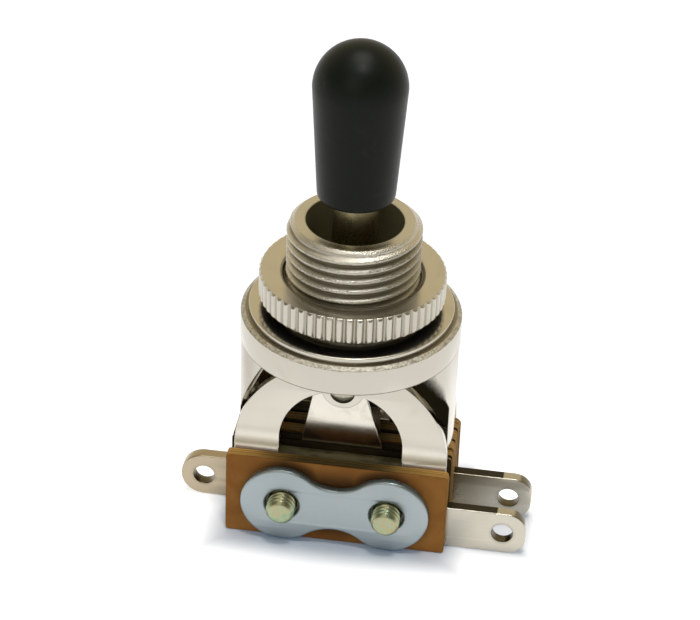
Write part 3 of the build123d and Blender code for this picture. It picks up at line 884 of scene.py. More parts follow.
def joined(meshes: Sequence[bpy.types.Mesh]) -> bpy.types.Mesh:
    """Several meshes as one."""
    bm = bmesh.new()
    for mesh in meshes:
        bm.from_mesh(mesh)
    result = bpy.data.meshes.new("joined")
    bm.to_mesh(result)
    bm.free()
    return result


def circle(centre: Point, radius: float, steps: int = 64) -> list[Point]:
    """Points round a full circle."""
    return arc(centre, radius, 0, 360, steps)[:-1]


def place(name: str, mesh: bpy.types.Mesh, finish: Finish, body: Body, nodes: Sequence[str],
          sharp_angle: float = 35.0, weigh: bool = True) -> bpy.types.Object:
    """Turns a mesh into a piece on a body.

    Args:
        name: name of the piece.
        mesh: its mesh in the row frame.
        finish: finish of its whole surface.
        body: the body that it rides on.
        nodes: CAD nodes that it stands for.
        sharp_angle: edges that turn by more stay sharp.
        weigh: keeps flat faces flat where they meet rounded edges.

    Returns:
        The piece.
    """
    mesh.name = name
    smooth(mesh, sharp_angle)
    piece = bpy.data.objects.new(name, mesh)
    bpy.context.scene.collection.objects.link(piece)
    PAINT.coat(piece, finish)
    if weigh:
        even = piece.modifiers.new("even_faces", "WEIGHTED_NORMAL")
        even.keep_sharp = True
        even.weight = 90
    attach(piece, body.value)
    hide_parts(*nodes)
    log.info("%s: %d faces on %s", name, len(mesh.polygons), body.value)
    return piece


def softened(node: str, finish: Finish, body: Body, edge: float) -> bpy.types.Object:
    """A node's own form with its edges softened.

    Args:
        node: the CAD node to follow and stand for.
        finish: finish of the piece.
        body: the body that it rides on.
        edge: width of the softened edges in millimetres.

    Returns:
        The piece.
    """
    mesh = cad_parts[node].data.copy()
    weld(mesh)
    bm = bmesh.new()
    bm.from_mesh(mesh)
    bmesh.ops.dissolve_limit(bm, angle_limit=math.radians(1.0), verts=bm.verts, edges=bm.edges)
    bm.to_mesh(mesh)
    bm.free()
    piece = place(f"{node}_finished", mesh, finish, body, [node], weigh=False)
    soft = piece.modifiers.new("soft_edges", "BEVEL")
    soft.width = edge * MM
    soft.segments = 2
    soft.limit_method = "ANGLE"
    soft.angle_limit = math.radians(40)
    even = piece.modifiers.new("even_faces", "WEIGHTED_NORMAL")
    even.keep_sharp = True
    return piece


def threaded(root: float, crest: float, pitch: float, low: float, high: float,
             envelope: Callable[[float], float], columns: int = 240, per_turn: int = 16,
             phase: float = 0.0) -> np.ndarray:
    """Rings of a right-hand thread about Z.

    Args:
        root: radius at the bottom of the groove.
        crest: radius of the crest.
        pitch: advance per turn.
        low: height of the first ring.
        high: height of the last ring.
        envelope: largest radius at a height, for chamfers.
        columns: facets round the axis.
        per_turn: rings per pitch.
        phase: start of the thread as a share of a turn.

    Returns:
        Array of ring, column and xyz in millimetres.
    """
    heights = np.linspace(low, high, max(2, round((high - low) / pitch * per_turn)) + 1)
    angles = np.linspace(0, 2 * np.pi, columns, endpoint=False)
    along = heights[:, None] / pitch - angles[None, :] / (2 * np.pi) + phase
    saw = np.abs(2 * (along - np.floor(along)) - 1)          # 1 at the root, 0 at the crest
    ramp = np.clip((saw - 0.16) / 0.68, 0, 1)
    wave = ramp * ramp * (3 - 2 * ramp) * 0.55 + ramp * 0.45
    radius = crest - (crest - root) * wave
    limit = np.array([envelope(h) for h in heights])[:, None]
    radius = np.minimum(radius, limit)
    return np.stack([radius * np.cos(angles), radius * np.sin(angles),
                     np.repeat(heights[:, None], columns, axis=1)], axis=-1)


# ------------------------------------------------------------------ sub-assemblies
def lug_points(side: int, inner: float, end: float, low: float, corner: float,
               height: float = 4.3) -> list[Point]:
    """Outline of a lug from its lower to its upper inner corner, round its end.

    Args:
        side: 1 for a lug that points along +X, -1 for one along -X.
        inner: where the lug starts.
        end: where it ends.
        low: its lower edge.
        corner: radius of its two end corners.
        height: its height.

    Returns:
        The open outline.
    """
    x = end - side * corner
    points = [(inner, low)]
    points += arc((x, low + corner), corner, -90, 0 if side > 0 else -180, 16)
    points += arc((x, low + height - corner), corner, 0 if side > 0 else 180, 90, 16)
    return points + [(inner, low + height)]


@dataclass
class Housing:
    """Drawn cup with two side skirts, and the bracket that carries both legs."""

    wall: float = 0.6
    top: float = 1.2
    band: float = 2.75
    bevel: Point = (0.38, 0.25)
    bore: float = 6.02
    inset: float = 0.08
    skirt_top: float = 7.0
    skirt_mid: float = 5.2
    skirt_low: float = 2.4
    flank_shares: Point = (0.75, 0.45)
    lip: float = 0.10          # rounding of the skirt's and band's lower edge
    leg_gap: float = 6.54      # between the inner faces of the two legs
    web_radius: float = 8.6
    shoulder_drop: float = 0.2     # the legs' round shoulders start this much under the stack's top
    neck: float = 3.9              # half width of a leg where it meets the web
    window_radius: float = 5.6
    window_centre: float = -12.1
    window_sill: float = -13.6
    ear_radius: float = 1.95
    ear_z: float = -6.2
    stud_radius: float = 0.8
    stud_dome: float = 0.5
    columns: int = 720

    def flank(self, low: float) -> tuple[Point, float, float]:
        """Centre, radius and lower end of the arc that bounds a skirt."""
        end = -self.band - self.flank_shares[0] * (-self.band - low)
        middle = -self.band + self.flank_shares[1] * (end + self.band)
        (ax, ay), (bx, by), (cx, cy) = (
            (self.skirt_top, -self.band), (self.skirt_mid, middle), (self.skirt_low, end))
        d = 2 * (ax * (by - cy) + bx * (cy - ay) + cx * (ay - by))
        ux = ((ax**2 + ay**2) * (by - cy) + (bx**2 + by**2) * (cy - ay) + (cx**2 + cy**2) * (ay - by)) / d
        uy = ((ax**2 + ay**2) * (cx - bx) + (bx**2 + by**2) * (ax - cx) + (cx**2 + cy**2) * (bx - ax)) / d
        return (ux, uy), math.hypot(ax - ux, ay - uy), end

    def lower_edge(self, across: float, low: float) -> float:
        """Height of the cup's lower edge at a distance from the middle of a skirt."""
        (cx, cz), radius, end = self.flank(low)
        across = abs(across)
        if across >= self.skirt_top:
            return -self.band
        if across <= self.skirt_low:
            return low
        side = 1 if self.skirt_mid < cx else -1
        drop = math.sqrt(max(0.0, radius**2 - (across - cx) ** 2))
        return max(end, min(-self.band, cz + side * drop))

    def cup(self) -> bpy.types.Mesh:
        """The cup, skinned round its axis with a lower edge that follows the skirts."""
        box = Extent.of("housing_cup")
        outer, low = box.high.x, box.low.z
        angles = np.linspace(0, 2 * np.pi, self.columns, endpoint=False)
        skirt = outer - self.inset
        edge = np.array([self.lower_edge(skirt * math.sin(a), low) for a in angles])
        lip = np.minimum(self.lip, (-self.band - edge) / 2)

        def ring(r: float, z: object) -> np.ndarray:
            """A ring of the cup at one radius; z is one height or one for each column."""
            return np.stack([r * np.cos(angles), r * np.sin(angles), np.broadcast_to(z, angles.shape)], -1)

        top_line = eased([(self.bore, -self.top), (self.bore, 0.0), (outer - self.bevel[0], 0.0),
                          (outer, -self.bevel[1]), (outer, -self.band), (skirt, -self.band)],
                         0.04, closed=False)
        rings = [ring(r, z) for r, z in top_line]
        for share in np.linspace(0.08, 1, 13):
            rings.append(ring(skirt, -self.band + (edge + lip + self.band) * share))
        for turn in (30, 60, 90):
            bend = math.radians(turn)
            rings.append(ring(skirt - self.lip * (1 - math.cos(bend)), edge + lip * (1 - math.sin(bend))))
        inner = outer - self.wall
        rings += [ring(inner + 0.08, edge), ring(inner, edge + 0.08)]
        for share in np.linspace(0.1, 1, 8):
            rings.append(ring(inner, edge + (-self.top - edge) * share))
        return closed_skin(np.array(rings))

    def build(self) -> None:
        """Places the cup, the bracket, its rivets and the studs."""
        place("cup_shell", self.cup(), CupNickel("cup_nickel", "nickel_plate"), Body.SWITCH, ["housing_cup"])
        place("arched_bracket", self.bracket(), SillNickel("bracket_nickel", "nickel_plate"), Body.SWITCH,
              ["leg_bracket"])
        for side in ("left", "right"):
            softened(f"bracket_rivet_{side}", SHEET_NICKEL, Body.SWITCH, 0.06)
        for side in ("front", "rear"):
            self.stud(side)

    def leg(self, front: float, thick: float) -> bpy.types.Mesh:
        """One arched leg with its window and the half-round ear."""
        box, stack = Extent.of("leg_bracket"), Extent.of("insulator_front_outer")
        half = box.high.x
        shoulder = stack.high.z - self.shoulder_drop
        lift = math.degrees(math.acos(self.neck / half))
        web_middle = -self.top - 0.2
        outline = [(-half, box.low.z)]
        outline += arc((0, shoulder), half, 180, 180 - lift, 48)
        outline += [(-self.neck, web_middle), (self.neck, web_middle)]
        outline += arc((0, shoulder), half, lift, 0, 48)
        outline += [(half, box.low.z)]
        radius, centre, ear = self.window_radius, self.window_centre, self.ear_radius
        reach = self.ear_z - centre
        along = (radius**2 - ear**2 + reach**2) / (2 * reach)
        aside = math.sqrt(radius**2 - along**2)
        meet = math.degrees(math.atan2(along, aside))
        ear_meet = math.degrees(math.atan2(along - reach, aside))
        window = [(-radius, self.window_sill)]
        window += arc((0, centre), radius, 180, 180 - meet, 40)
        window += arc((0, self.ear_z), ear, 180 - ear_meet, 360 + ear_meet, 40)[1:-1]
        window += arc((0, centre), radius, meet, 0, 40)
        window += [(radius, self.window_sill)]
        return sheet(outline, [window], front, thick, 0.07)

    def bracket(self) -> bpy.types.Mesh:
        """Two legs and the web between them, under the cup."""
        box = Extent.of("leg_bracket")
        thick = (box.size.y - self.leg_gap) / 2
        reach = math.degrees(math.asin(box.high.y / self.web_radius))
        web = arc((0, 0), self.web_radius, -reach, reach, 24)
        web += arc((0, 0), self.web_radius, 180 - reach, 180 + reach, 24)
        legs = [self.leg(front, thick) for front in (box.low.y, box.high.y - thick)]
        hole = circle((0, 0), self.leg_gap / 2 - 0.2)
        return joined([*legs, sheet(web, [hole], -self.top - thick, thick, 0.05, Facing.UP)])

    def stud(self, side: str) -> None:
        """Stud with a domed head, pressed into a leg's ear."""
        node = f"stop_stud_{side}"
        box = Extent.of(node)
        radius, dome, length = box.size.x / 2, self.stud_dome, box.size.y
        ball = (radius**2 + dome**2) / (2 * dome)
        profile = [(0.001, 0), (self.stud_radius, 0), (self.stud_radius, length - dome),
                   (radius, length - dome)]
        sweep = math.degrees(math.asin(radius / ball))
        profile += arc((0, length - ball), ball, 90 - sweep, 90, 10)[1:-1] + [(0.001, length)]
        mesh = turned(eased(profile, 0.05), 96)
        tip, start = (90, box.high.y) if side == "front" else (-90, box.low.y)
        moved(mesh, y=start, z=box.centre.z, tip=tip)
        place(f"ear_stud_{side}", mesh, STUD_NICKEL, Body.SWITCH, [node])


@dataclass
class Bushing:
    """Threaded bushing with the washer and the knurled nut."""

    pitch: float = 1.0
    depth: float = 0.46
    chamfer: Point = (0.7, 0.6)
    bore: float = 4.35
    crown: float = 0.28        # the rim stands this much over the plain solid
    seat: float = 3.2
    cone: Point = (2.0, 3.0)
    radius: float = 6.0
    teeth: int = 58
    tooth: float = 0.27
    per_tooth: int = 14
    nut_radius: float = 8.35
    nut_bore: float = 6.05
    nut_chamfer: float = 0.18
    nut_lead_in: float = 0.4       # chamfer of the threaded hole
    nut_lift: float = 0.01         # a hair off the washer at the lower limit
    washer_bore: float = 6.25

    def sleeve(self) -> bpy.types.Mesh:
        """The bushing with its helical thread and stepped bore."""
        box = Extent.of("bushing")
        radius, top, bottom = self.radius, box.high.z + self.crown, box.low.z
        across, down = self.chamfer
        columns = 288
        angles = np.linspace(0, 2 * np.pi, columns, endpoint=False)

        def ring(r: float, z: float) -> np.ndarray:
            """A round ring of the bushing at one radius and height."""
            return np.stack([r * np.cos(angles), r * np.sin(angles), np.full_like(angles, z)], -1)[None]

        def envelope(height: float) -> float:
            """Largest radius at a height: the chamfers at both ends of the thread."""
            top_cut = radius - across * max(0.0, (height - (top - down)) / down)
            low_cut = radius - self.depth * max(0.0, (0.3 - height) / 0.3)
            return min(top_cut, low_cut)

        thread = threaded(radius - self.depth, radius, self.pitch, 0.02, top - 0.03, envelope, columns)
        foot = [(box.high.x, bottom), (radius, bottom + 0.5), (radius - self.depth, -0.1)]
        lip = eased([(radius - across, top - 0.03), (radius - across, top), (self.bore, top),
                     (self.bore, self.cone[1]), (self.seat, self.cone[0]), (self.seat, bottom)],
                    0.05, closed=False)[1:]
        rings = [ring(r, z) for r, z in foot] + [thread] + [ring(r, z) for r, z in lip]
        return closed_skin(np.concatenate(rings))

    def nut(self) -> bpy.types.Mesh:
        """The nut: straight knurl with rounded teeth, cut back by its chamfers."""
        box = Extent.of("knurled_nut")
        low, high, radius = box.low.z + self.nut_lift, box.high.z, self.nut_radius
        columns = self.teeth * self.per_tooth
        angles = np.linspace(0, 2 * np.pi, columns, endpoint=False)
        share = angles / (2 * np.pi) * self.teeth
        off = np.abs(share - np.round(share)) * 2            # 0 in a groove, 1 on a tooth
        rise = np.clip((off - 0.05) / 0.68, 0, 1)
        tooth = radius - self.tooth * (1 - rise * rise * (3 - 2 * rise))
        root = radius - self.nut_chamfer - 0.02
        bore, lead_in = self.nut_bore, self.nut_lead_in

        def ring(r: object, z: float) -> np.ndarray:
            """A ring of the nut; r is one radius or one for each column."""
            reach = np.broadcast_to(r, angles.shape)
            return np.stack([reach * np.cos(angles), reach * np.sin(angles), np.full_like(angles, z)], -1)

        side = []
        for t in np.linspace(0, 1, 5):
            side.append((radius - self.nut_chamfer * (1 - t), low + self.nut_chamfer * t))
        side += [(radius, low + s) for s in np.linspace(0.3, box.size.z - 0.3, 7)]
        side += [(r, low + high - z) for r, z in side[4::-1]]
        rings = [ring(bore, low + lead_in), ring(bore + lead_in, low), ring(bore + 0.6, low),
                 ring(radius - 0.6, low), ring(np.minimum(tooth, root), low)]
        rings += [ring(np.minimum(tooth, r), z) for r, z in side]
        rings += [ring(np.minimum(tooth, root), high), ring(radius - 0.6, high),
                  ring(bore + 0.6, high), ring(bore + lead_in, high), ring(bore, high - lead_in)]
        return closed_skin(np.array(rings))

    def washer(self) -> bpy.types.Mesh:
        """Stamped flat washer with a rolled upper edge."""
        box = Extent.of("flat_washer")
        outer, thick, bore = box.high.x, box.size.z, self.washer_bore
        return turned(eased([(bore, 0), (outer, 0), (outer, thick), (bore, thick)], 0.14, steps=5), 384)

    def build(self) -> None:
        """Places the bushing, its pivot pin, the washer and the nut."""
        thread_nickel = ThreadNickel("thread_nickel", "nickel_plate", gloss=(0.16, 0.28))
        place("threaded_sleeve", self.sleeve(), thread_nickel, Body.SWITCH, ["bushing"], 60, weigh=False)
        place("washer_ring", self.washer(), SHEET_NICKEL, Body.SWITCH, ["flat_washer"])
        place("nut_knurl", self.nut(), NutNickel("nut_nickel", "nickel_plate"), Body.NUT, ["knurled_nut"], 50)
        softened("pivot_pin", BRASS, Body.SWITCH, 0.08)


@dataclass
class Lever:
    """Rocking lever: rod, cap, fork and roller."""

    cap_edge: float = 0.4
    shaft_radius: float = 2.02
    shoulder: float = 22.35
    cap_low_radius: float = 3.45
    cap_depth: float = 20.05     # height of the hole's end
    cap_skirt: float = 0.25      # the cap's mouth hangs this much under the plain solid

    def cap(self) -> bpy.types.Mesh:
        """Tapered cap with a round crown."""
        box = Extent.of("tip_cap")
        top_radius, bottom = box.high.x, box.low.z - self.cap_skirt
        profile = [(self.shaft_radius + 0.02, self.cap_depth), (self.shaft_radius + 0.02, bottom),
                   (self.cap_low_radius, bottom)]
        flank = [(self.cap_low_radius + (top_radius - self.cap_low_radius) * t,
                  bottom + (self.shoulder - bottom) * t) for t in np.linspace(0, 1, 12)[1:-1]]
        crown = arc((0, self.shoulder), top_radius, 0, 90, 40)
        crown = [(max(r, 0.001), z) for r, z in crown]
        closed = profile + flank + crown + [(0.001, self.cap_depth)]
        return turned(eased(closed, self.cap_edge, sharper_than=30), 256)

    def build(self) -> None:
        """Places the moving pieces."""
        place("cap_moulding", self.cap(), BLACK, Body.LEVER, ["tip_cap"])
        softened("lever_shaft", ROD_NICKEL, Body.LEVER, 0.08)
        softened("roller_axle", BRASS, Body.LEVER, 0.06)
        softened("roller", NYLON, Body.ROLLER, 0.1)


@dataclass
class LeafStack:
    """Insulators, solder terminals, leaf blades and their contacts."""

    corner: float = 0.4
    tube_hole: float = 2.0
    eyelet_hole: float = 2.5
    lug_height: float = 4.3
    lug_hole: float = 0.97
    root: tuple[float, float, float, float] = (1.4, -20.9, -14.3, 9.6)   # inner end, low, high, outer end
    right_corner: float = 1.7
    left_corner: float = 2.1
    inner_drop: float = 1.1      # the sheet behind the facing ends this much lower
    tongue_shift: float = -0.4   # the front tongue stands this far off the middle
    boards: list[tuple[str, float]] = field(default_factory=lambda: [
        ("insulator_front_outer", 0.10), ("insulator_leg_front", 0.05), ("insulator_contact_front", 0.07),
        ("insulator_contact_rear", 0.06), ("insulator_leg_rear", 0.05), ("insulator_leg_rear_2", 0.05),
        ("insulator_rear_outer", 0.10)])

    def board(self, node: str, edge: float) -> None:
        """One full insulating sheet."""
        box = Extent.of(node)
        outline = eased([(box.low.x, box.low.z), (box.high.x, box.low.z),
                         (box.high.x, box.high.z), (box.low.x, box.high.z)], self.corner)
        right = self.eyelet_hole if node == "insulator_leg_front" else self.tube_hole
        holes = [circle((-SCREW_X, SCREW_Z), self.tube_hole), circle((SCREW_X, SCREW_Z), right)]
        # the inner sheets take the shaded copy of the phenolic
        finish = BOARD if node.endswith("outer") else INNER_BOARD
        mesh = sheet(outline, holes, box.low.y, box.size.y, edge)
        place(f"{node}_board", mesh, finish, Body.SWITCH, [node])

    def terminal(self, node: str, side: int, corner: float) -> None:
        """A solder terminal: root round one screw and a lug with a rounded end."""
        box = Extent.of(node)
        end = box.high.x if side > 0 else box.low.x
        inner, root_low, root_high, root_end = self.root
        outline = lug_points(side, side * (inner + 1), end, box.low.z, corner, self.lug_height)[:-1]
        outline += [(side * root_end, box.low.z + self.lug_height), (side * root_end, root_high),
                    (side * inner, root_high), (side * inner, root_low), (side * (inner + 1), root_low)]
        hole = (end - side * self.lug_height / 2, box.low.z + self.lug_height / 2)
        screw = self.eyelet_hole if node == "terminal_front" else self.tube_hole
        holes = [circle(hole, self.lug_hole), circle((side * SCREW_X, SCREW_Z), screw)]
        mesh = sheet(eased(outline, 0.3, sharper_than=40), holes, box.low.y, box.size.y, 0.09)
        place(f"{node}_lug", mesh, LUG_NICKEL, Body.SWITCH, [node])

    def build(self) -> None:
        """Places every layer from front to rear."""
        for node, edge in self.boards:
            self.board(node, edge)
        beside_lug = softened("insulator_front_inner", SHADED_EDGE_BOARD, Body.SWITCH, 0.04)
        shoulder = (Extent.of("insulator_front_inner").high.z - 0.6) * MM
        for corner in beside_lug.data.vertices:
            if corner.co.z > shoulder:
                corner.co.z -= self.inner_drop * MM
        for node in ("spacer_common", "spacer_rear"):
            softened(node, BOARD, Body.SWITCH, 0.06)
        self.terminal("terminal_front", 1, self.right_corner)
        self.terminal("terminal_common", -1, self.left_corner)
        self.terminal("terminal_rear", 1, self.right_corner)
        tongue = softened("blade_outer_front", SPRING, Body.SWITCH, 0.05)
        stack_top = Extent.of("insulator_front_outer").high.z * MM
        for corner in tongue.data.vertices:
            if corner.co.z > stack_top:
                corner.co.x += self.tongue_shift * MM
        softened("blade_outer_rear", SPRING, Body.SWITCH, 0.05)
        for node in ("blade_inner_front", "blade_inner_rear"):
            softened(node, SHADED_SPRING, Body.SWITCH, 0.05)
        for node in ("contact_outer_front", "contact_inner_front", "contact_inner_rear",
                     "contact_outer_rear"):
            softened(node, SILVER, Body.SWITCH, 0.06)
        softened("link_eyelet", BRASS, Body.SWITCH, 0.05)


@dataclass
class Clamp:
    """The two zinc plates with their screws and insulating tubes."""

    waist: float = 2.2
    screw_radius: float = 1.3
    pitch: float = 0.5
    thread_depth: float = 0.2
    head_height: float = 1.4
    tip: float = 0.3             # height of the chamfer at the screw's end
    rolled: float = 0.26         # rounding of the plates' punched edge
    recess: Point = (1.35, 0.3)  # half length and half width of a recess slot

    def outline(self) -> list[Point]:
        """Two round lobes joined by a waist with hollow flanks."""
        hollow = (SCREW_X**2 + self.waist**2 - LOBE_R**2) / (2 * (LOBE_R - self.waist))
        height = self.waist + hollow
        lean = math.degrees(math.atan2(height, SCREW_X))
        points = arc((SCREW_X, SCREW_Z), LOBE_R, -180 + lean, 180 - lean, 80)
        points += arc((0, SCREW_Z + height), hollow, -lean, -180 + lean, 40)[1:-1]
        points += arc((-SCREW_X, SCREW_Z), LOBE_R, lean, 360 - lean, 80)
        points += arc((0, SCREW_Z - height), hollow, 180 - lean, lean, 40)[1:-1]
        return points

    def plate(self, side: str, hole: float) -> None:
        """One plate, its front edge rolled by the punch."""
        node = f"clamp_plate_{side}"
        box = Extent.of(node)
        holes = [circle((x, SCREW_Z), hole) for x in (-SCREW_X, SCREW_X)]
        mesh = sheet(self.outline(), holes, box.low.y, box.size.y, self.rolled)
        place(f"figure_eight_plate_{side}", mesh, ZINC, Body.SWITCH, [node])

    def screw(self, side: str) -> None:
        """A screw: threaded end at the front, cross-recessed head at the rear."""
        node = f"screw_{side}"
        box = Extent.of(node)
        x, length, head_radius = box.centre.x, box.size.y, box.size.x / 2
        seat = length - self.head_height
        columns = 96
        angles = np.linspace(0, 2 * np.pi, columns, endpoint=False)

        def ring(r: float, z: float) -> np.ndarray:
            """A round ring of the screw."""
            return np.stack([r * np.cos(angles), r * np.sin(angles), np.full_like(angles, z)], -1)[None]

        def envelope(height: float) -> float:
            """Largest radius at a height: the chamfer of the screw's end."""
            return self.screw_radius - self.tip * max(0.0, 1 - height / self.tip)

        thread = threaded(self.screw_radius - self.thread_depth, self.screw_radius, self.pitch, 0.02,
                          seat - 0.3, envelope, columns, 12)
        head = eased([(self.screw_radius, seat - 0.2), (self.screw_radius, seat), (head_radius, seat),
                      (head_radius, length - 0.5), (head_radius - 0.75, length), (0.002, length)],
                     0.12, closed=False)
        rings = np.concatenate([ring(0.002, 0), ring(self.screw_radius - 0.5, 0), thread]
                               + [ring(r, z) for r, z in head])
        shank = weld(skin(rings, cap_first=True, cap_last=True))
        moved(shank, x=x, y=box.low.y, z=SCREW_Z, tip=-90)
        piece = place(f"clamp_screw_{side}", shank, YELLOW_SCREW, Body.SWITCH, [node], 50, weigh=False)
        self.cut_recess(piece, x, box.high.y)

    def cut_recess(self, piece: bpy.types.Object, x: float, face: float) -> None:
        """Cuts the cross recess into the head, whose end face stands at y = face."""
        cross = []
        for wide, tall in (self.recess, self.recess[::-1]):
            cross.append(sheet([(x - wide, SCREW_Z - tall), (x + wide, SCREW_Z - tall),
                                (x + wide, SCREW_Z + tall), (x - wide, SCREW_Z + tall)],
                               [], face - 0.7, 1.6, 0.02))
        cutter = bpy.data.objects.new("cutter", joined(cross))
        bpy.context.scene.collection.objects.link(cutter)
        cut = piece.modifiers.new("recess", "BOOLEAN")
        cut.operation, cut.solver, cut.object, cut.use_self = "DIFFERENCE", "EXACT", cutter, True
        bpy.context.view_layer.update()
        carved = bpy.data.meshes.new_from_object(piece.evaluated_get(bpy.context.evaluated_depsgraph_get()))
        piece.modifiers.remove(cut)
        piece.data = smooth(carved, 40)
        bpy.data.objects.remove(cutter)

    def build(self) -> None:
        """Places the plates, screws and tubes."""
        self.plate("front", self.screw_radius + 0.22)
        self.plate("rear", self.screw_radius + 0.12)
        for side in ("left", "right"):
            self.screw(side)
            softened(f"insulating_tube_{side}", TUBE, Body.SWITCH, 0.05)


# ---------------------------------------------------------------------- studio
@dataclass
class Studio:
    """Pale floor, soft lamps, a glowing canopy seen only in reflections, and the camera."""

    azimuth: float = 7.12
    elevation: float = 33.09
    roll: float = 2.31
    distance: float = 253.7
    target: tuple[float, float, float] = (-0.14, 0.0, -0.33)
    lens: float = 145.9
    floor_drop: float = 0.02
    canopy_radius: float = 1500

    def camera(self) -> None:
        """Camera above the front, turned a little toward the right."""
        azimuth, elevation = math.radians(self.azimuth), math.radians(self.elevation)
        back = Vector((math.sin(azimuth) * math.cos(elevation), -math.cos(azimuth) * math.cos(elevation),
                       math.sin(elevation)))
        right = Vector((math.cos(azimuth), math.sin(azimuth), 0))
        up = back.cross(right)
        roll = math.radians(self.roll)
        right, up = (right * math.cos(roll) + up * math.sin(roll),
                     up * math.cos(roll) - right * math.sin(roll))
        data = bpy.data.cameras.new("camera")
        data.lens, data.sensor_width, data.sensor_fit = self.lens, 36.0, "HORIZONTAL"
        data.clip_start, data.clip_end = 0.01, 20.0
        camera = bpy.data.objects.new("camera", data)
        turn = Matrix((right, up, back)).transposed().to_4x4()
        camera.matrix_world = Matrix.Translation((Vector(self.target) + back * self.distance) * MM) @ turn
        bpy.context.scene.collection.objects.link(camera)
        bpy.context.scene.camera = camera

    def floor(self) -> None:
        """White floor under the base: bright to the eye and in reflections, with the object's shadow, a
        painted light that lifts the soft shadow round the base and a painted bluish contact shadow next to
        the footprint.
        """
        low = CAD_BOX[0][2] - self.floor_drop * MM
        mesh = bpy.data.meshes.new("floor")
        reach = 3.0
        corners = [(-reach, -reach, low), (reach, -reach, low), (reach, reach, low), (-reach, reach, low)]
        mesh.from_pydata(corners, [], [(0, 1, 2, 3)])
        floor = bpy.data.objects.new("floor", mesh)
        bpy.context.scene.collection.objects.link(floor)
        tree = Tree("floor_white")
        path = tree.add("ShaderNodeLightPath")
        seen = Value(tree, path.outputs["Is Camera Ray"]).max(Value(tree, path.outputs["Is Glossy Ray"])).max(
            Value(tree, path.outputs["Is Transmission Ray"]))
        x, y, _ = tree.axes()
        base = (abs(x) - 9.7).max(abs(y + 0.6) - 6.6)
        lugs = (abs(x - 13.2) - 3.6).max(abs(y + 1.9) - 2.6)
        # painted contact shadow: next to the footprint and the lugs the glow is dimmed to a bluish tone
        near = base.rise(3.8, 0.0).max(lugs.rise(2.2, 0.0) * 0.8)
        # painted light: the glow is stronger within about 10 mm of the base than far off, lifting the soft
        # shadow
        tone = tree.blend(base.rise(10.0, 20.0), (0.66, 0.66, 0.66), (0.42, 0.42, 0.42))
        tone = tree.blend(near, tone, (0.00, 0.035, 0.08))
        glow = tree.add("ShaderNodeEmission", None, {"Color": tone, "Strength": seen})
        matt = tree.add("ShaderNodeBsdfDiffuse", None, {"Color": (0.88, 0.88, 0.88)})
        both = tree.add("ShaderNodeAddShader", None, {0: matt.outputs[0], 1: glow.outputs[0]})
        output = tree.nodes["Material Output"]
        tree.links.new(both.outputs[0], output.inputs["Surface"])
        mesh.materials.append(tree.material)

    def world(self) -> None:
        """Even soft light; a white surround wherever it is seen directly."""
        world = bpy.data.worlds.new("surround")
        bpy.context.scene.world = world
        world.use_nodes = True
        nodes, links = world.node_tree.nodes, world.node_tree.links
        path = nodes.new("ShaderNodeLightPath")
        seen = nodes.new("ShaderNodeMath")
        seen.operation = "MAXIMUM"
        links.new(path.outputs["Is Camera Ray"], seen.inputs[0])
        links.new(path.outputs["Is Transmission Ray"], seen.inputs[1])
        also = nodes.new("ShaderNodeMath")
        also.operation = "MAXIMUM"
        links.new(seen.outputs[0], also.inputs[0])
        links.new(path.outputs["Is Glossy Ray"], also.inputs[1])
        mix = nodes.new("ShaderNodeMix")
        mix.data_type = "RGBA"
        mix.inputs[6].default_value = (0.20, 0.20, 0.20, 1)
        mix.inputs[7].default_value = (1, 1, 1, 1)
        links.new(also.outputs[0], mix.inputs[0])
        links.new(mix.outputs[2], nodes["Background"].inputs["Color"])

    def canopy(self) -> None:
        """A tan and brown glowing canopy round the set, seen only in reflections: painted reflections, with a
        bright band above the front that paints the highlights.
        """
        rings = []
        angles = np.linspace(0, 2 * np.pi, 64, endpoint=False)
        for elevation in (-1.5, 6.0, 14.0, 24.0, 38.0, 55.0, 72.0, 86.0):
            e = math.radians(elevation)
            rings.append(np.stack([math.cos(e) * np.cos(angles), math.cos(e) * np.sin(angles),
                                   np.full_like(angles, math.sin(e))], -1) * self.canopy_radius)
        mesh = skin(np.array(rings), cap_last=True)
        canopy = bpy.data.objects.new("canopy", mesh)
        bpy.context.scene.collection.objects.link(canopy)
        canopy.visible_camera = False
        canopy.visible_shadow = False
        canopy.visible_diffuse = False
        tree = Tree("reflection_canopy")
        _, y, z = tree.axes()
        height = z / self.canopy_radius
        back = (y / self.canopy_radius).rise(-0.3, 0.6)
        low_wall = tree.ramp(height, [(0.0, (0.90, 0.85, 0.75)), (0.25, (0.78, 0.68, 0.47)),
                                      (0.62, (0.76, 0.64, 0.40)), (0.85, (0.24, 0.20, 0.14)),
                                      (1.0, (0.16, 0.14, 0.10))])
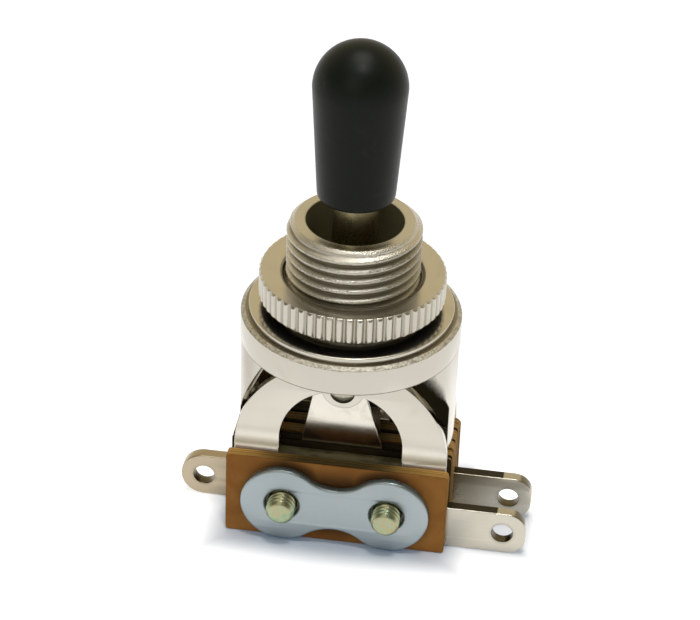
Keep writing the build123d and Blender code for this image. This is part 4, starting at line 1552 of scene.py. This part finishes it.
        # the bright band high on the front paints the highlights
        front_wall = tree.ramp(height, [(0.0, (0.90, 0.87, 0.80)), (0.2, (0.40, 0.36, 0.28)),
                                        (0.5, (0.16, 0.15, 0.11)), (0.83, (0.16, 0.15, 0.11)),
                                        (0.87, (1.0, 0.96, 0.86)), (0.95, (0.95, 0.90, 0.80)),
                                        (0.98, (0.16, 0.14, 0.10))])
        colour = tree.blend(back, front_wall, low_wall)
        glow = tree.add("ShaderNodeEmission", None, {"Color": colour, "Strength": 1.0})
        tree.links.new(glow.outputs[0], tree.nodes["Material Output"].inputs["Surface"])
        mesh.materials.append(tree.material)

    def lamp(self, name: str, azimuth: float, elevation: float, distance: float, size: float,
             power: float, colour: Colour) -> None:
        """An area lamp that looks at the object.

        Args:
            name: name of the lamp.
            azimuth: degrees to the right of the camera.
            elevation: degrees above the floor.
            distance: millimetres from the object.
            size: side of the lamp in millimetres.
            power: watts.
            colour: colour of the light.
        """
        data = bpy.data.lights.new(name, "AREA")
        data.shape, data.size, data.energy, data.color = "DISK", size * MM, power, colour
        lamp = bpy.data.objects.new(name, data)
        a, e = math.radians(self.azimuth + azimuth), math.radians(elevation)
        away = Vector((math.sin(a) * math.cos(e), -math.cos(a) * math.cos(e), math.sin(e)))
        turn = away.to_track_quat("Z", "Y").to_matrix().to_4x4()
        lamp.matrix_world = Matrix.Translation(away * distance * MM) @ turn
        bpy.context.scene.collection.objects.link(lamp)

    def build(self) -> None:
        """Sets up the whole studio."""
        self.camera()
        self.floor()
        self.world()
        self.canopy()
        self.lamp("overhead_softbox", 170, 80, 700, 420, 2.0, (1.0, 0.96, 0.90))
        self.lamp("window_lamp", 14, 75, 600, 70, 0.7, (0.92, 0.96, 1.0))
        self.lamp("front_fill", -20, 35, 900, 600, 0.9, (1.0, 0.98, 0.95))
        bpy.context.scene.view_settings.view_transform = "Standard"


def main() -> None:
    """Builds the studio and every sub-assembly."""
    logging.basicConfig(level=logging.INFO, format="%(name)s %(message)s")
    Studio().build()
    for part in (Housing(), Bushing(), Lever(), LeafStack(), Clamp()):
        log.info("building %s", type(part).__name__)
        part.build()


if __name__ == "__main__":
    main()
